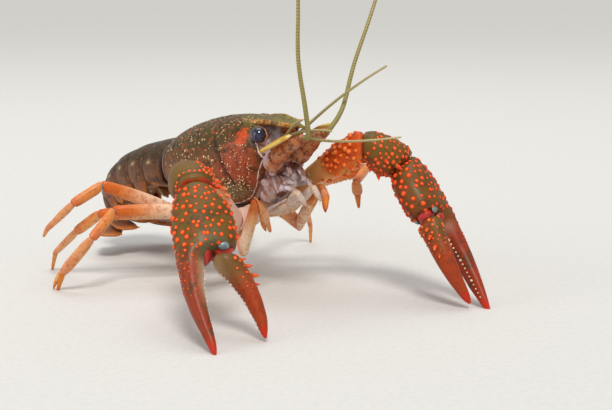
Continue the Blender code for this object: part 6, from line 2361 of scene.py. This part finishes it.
    def build_fan(self) -> None:
        """The middle plate and the four side plates, with ribs, spines and a fringe."""
        points = [Vector((self.sideways, y, z)) for y, z in self.joints]
        last = (points[-1] - points[-2]).normalized()
        heading = Vector((0, cos(self.fan_heading), -abs(sin(self.fan_heading))))
        root = points[-1] + (last + heading).normalized() * self.fan_set_back
        up = SIDEWAYS.cross(heading)
        for number, (name, side, turn_out, shift, level, length, half) in enumerate(self.plates):
            form = Form(70 + number)
            turned = Matrix.Rotation(-side * radians(turn_out), 3, up)
            along = turned @ heading
            over = turned @ SIDEWAYS
            frame = frame_of(over, along, over.cross(along), root + SIDEWAYS * (side * shift) + up * level)
            outline = tuple((x * half, y * length) for x, y in self.plate_outline)
            form.blade(outline, self.plate_thick * 0.9, frame, 0.12)
            for offset, radius in ((0, 0.4), (-0.42, 0.24), (0.42, 0.24)):
                runs = spread(0.06, 0.88, 12)
                ridge = [frame @ Vector((offset * half * (0.6 + 0.4 * y), length * y, 0.4)) for y in runs]
                form.rod(ridge, [radius * (1 - 0.6 * y) for y in spread(0, 1, 12)], 10)
            for edge in (-1, 1):
                spot = frame @ Vector((edge * half * 0.88, length * 0.66, 0))
                form.stud(spot, along + over * edge * 0.25, 0.36, 1.1, Raised.SPINE, 0.7)
            for step in range(44):
                turn = pi * (0.08 + 0.84 * step / 43)
                x, y = cos(turn) * half * 0.93, length * (0.72 + 0.25 * sin(turn) ** 0.7)
                start = frame @ Vector((x, y, form.vary(-0.1, 0.1)))
                lean = (along * (0.6 + sin(turn)) + over * cos(turn) * 0.6).normalized()
                size = form.vary(0.9, 1.3)
                form.stud(start, lean, 0.09, size, Raised.BRISTLE, 0.8, 0.6)
            form.done(name + "_shell", self.palette.wear("fan"), name)

    def build(self) -> None:
        """Builds the rings and the fan."""
        for index in range(len(self.joints) - 1):
            self.build_section(index)
        self.build_fan()


@dataclass
class Studio:
    """Pale floor, soft light and the camera."""

    camera_place: Row = (-0.197405, -0.260375, 0.077)
    camera_tilt: float = 80
    camera_heading: float = -39.8
    lens: float = 77.35
    floor_size: float = 8
    key_watts: float = 1.9
    key_aim: Row = (0.28, 0.45, -0.75)
    air_strength: float = 0.5
    # How wide the main light seems, in degrees.
    key_spread: float = 16
    aim_height: float = 0.02

    def lamp(self, name: str, place: Row, size: float, watts: float, warmth: Row) -> None:
        """A soft square lamp that looks at the animal.

        Args:
            name: Its name.
            place: Where it hangs.
            size: The length of its side.
            watts: Its power.
            warmth: The colour of its light.
        """
        data = bpy.data.lights.new(name, "AREA")
        data.shape = "SQUARE"
        data.size = size
        data.energy = watts
        data.color = warmth
        lamp = enter(name, data)
        lamp.location = place
        aim = Vector((0, 0, self.aim_height)) - Vector(place)
        lamp.rotation_euler = aim.to_track_quat("-Z", "Y").to_euler()

    def build(self) -> None:
        """Builds floor, lights and camera."""
        mesh = bmesh.new()
        bmesh.ops.create_circle(mesh, cap_ends=True, segments=64, radius=self.floor_size)
        data = bpy.data.meshes.new("floor")
        mesh.to_mesh(data)
        mesh.free()
        data.materials.append(Paper().build())
        enter("floor", data)
        data = bpy.data.lights.new("key_light", "SUN")
        data.energy = self.key_watts
        data.angle = radians(self.key_spread)
        data.color = (1, 0.98, 0.95)
        key = enter("key_light", data)
        key.rotation_euler = Vector(self.key_aim).to_track_quat("-Z", "Y").to_euler()
        self.lamp("top_light", (0.15, 0.2, 0.9), 0.6, 2.6, (0.98, 0.99, 1))
        self.lamp("fill_light", (-0.8, 0.25, 0.35), 0.5, 1.6, (0.97, 0.98, 1))
        world = bpy.data.worlds.new("studio_air")
        world.use_nodes = True
        air = world.node_tree.nodes["Background"]
        air.inputs["Color"].default_value = (0.92, 0.93, 0.94, 1)
        air.inputs["Strength"].default_value = self.air_strength
        bpy.context.scene.world = world
        bpy.context.scene.view_settings.view_transform = "Standard"
        data = bpy.data.cameras.new("camera")
        data.lens = self.lens
        data.sensor_width = 36
        data.clip_start = 0.01
        data.clip_end = 50
        camera = enter("camera", data)
        camera.location = self.camera_place
        camera.rotation_euler = (radians(self.camera_tilt), 0, radians(self.camera_heading))
        bpy.context.scene.camera = camera


def claws(palette: Palette, underside: Underside) -> list[Claw]:
    """The two claw limbs, each with its own pose.

    Args:
        palette: The animal's finishes.
        underside: The plate that they stand on.

    Returns:
        The near and the far claw.
    """
    near = Claw(
        palette, underside, -1, "right", (-9.8, -8.4, 18), (-28.4, -15.4, 31.2), (-32.2, -23.5, 29.5),
        (-45.1, -48.3, -0.35), (-31.8, -36, 17.8), (-31.2, -47.4, 0.9), 1, "palm", "arm_near", 11, 0.62
    )
    far = Claw(
        palette, underside, 1, "left", (10.8, -12.4, 27.2), (14.8, -27.4, 35.9), (23.2, -32.4, 31.2),
        (25.9, -58.7, -0.35), (18.6, -44.2, 20.4), (22.3, -56, 1.4), 0.92, "palm_far", "arm_far", 21, 0.04,
        pale_run=(0.42, 0.56)
    )
    return [near, far]


def main() -> None:
    """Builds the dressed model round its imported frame."""
    logging.basicConfig(level=logging.INFO, format="%(message)s")
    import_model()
    noise.seed_set(NOISE_SEED)
    Studio().build()
    palette = Palette()
    carapace = Carapace(palette)
    carapace.build()
    underside = Underside(palette)
    underside.build()
    Face(palette, carapace).build()
    for claw in claws(palette, underside):
        claw.build()
    Legs(palette, underside).build()
    Tail(palette).build()


if __name__ == "__main__":
    main()
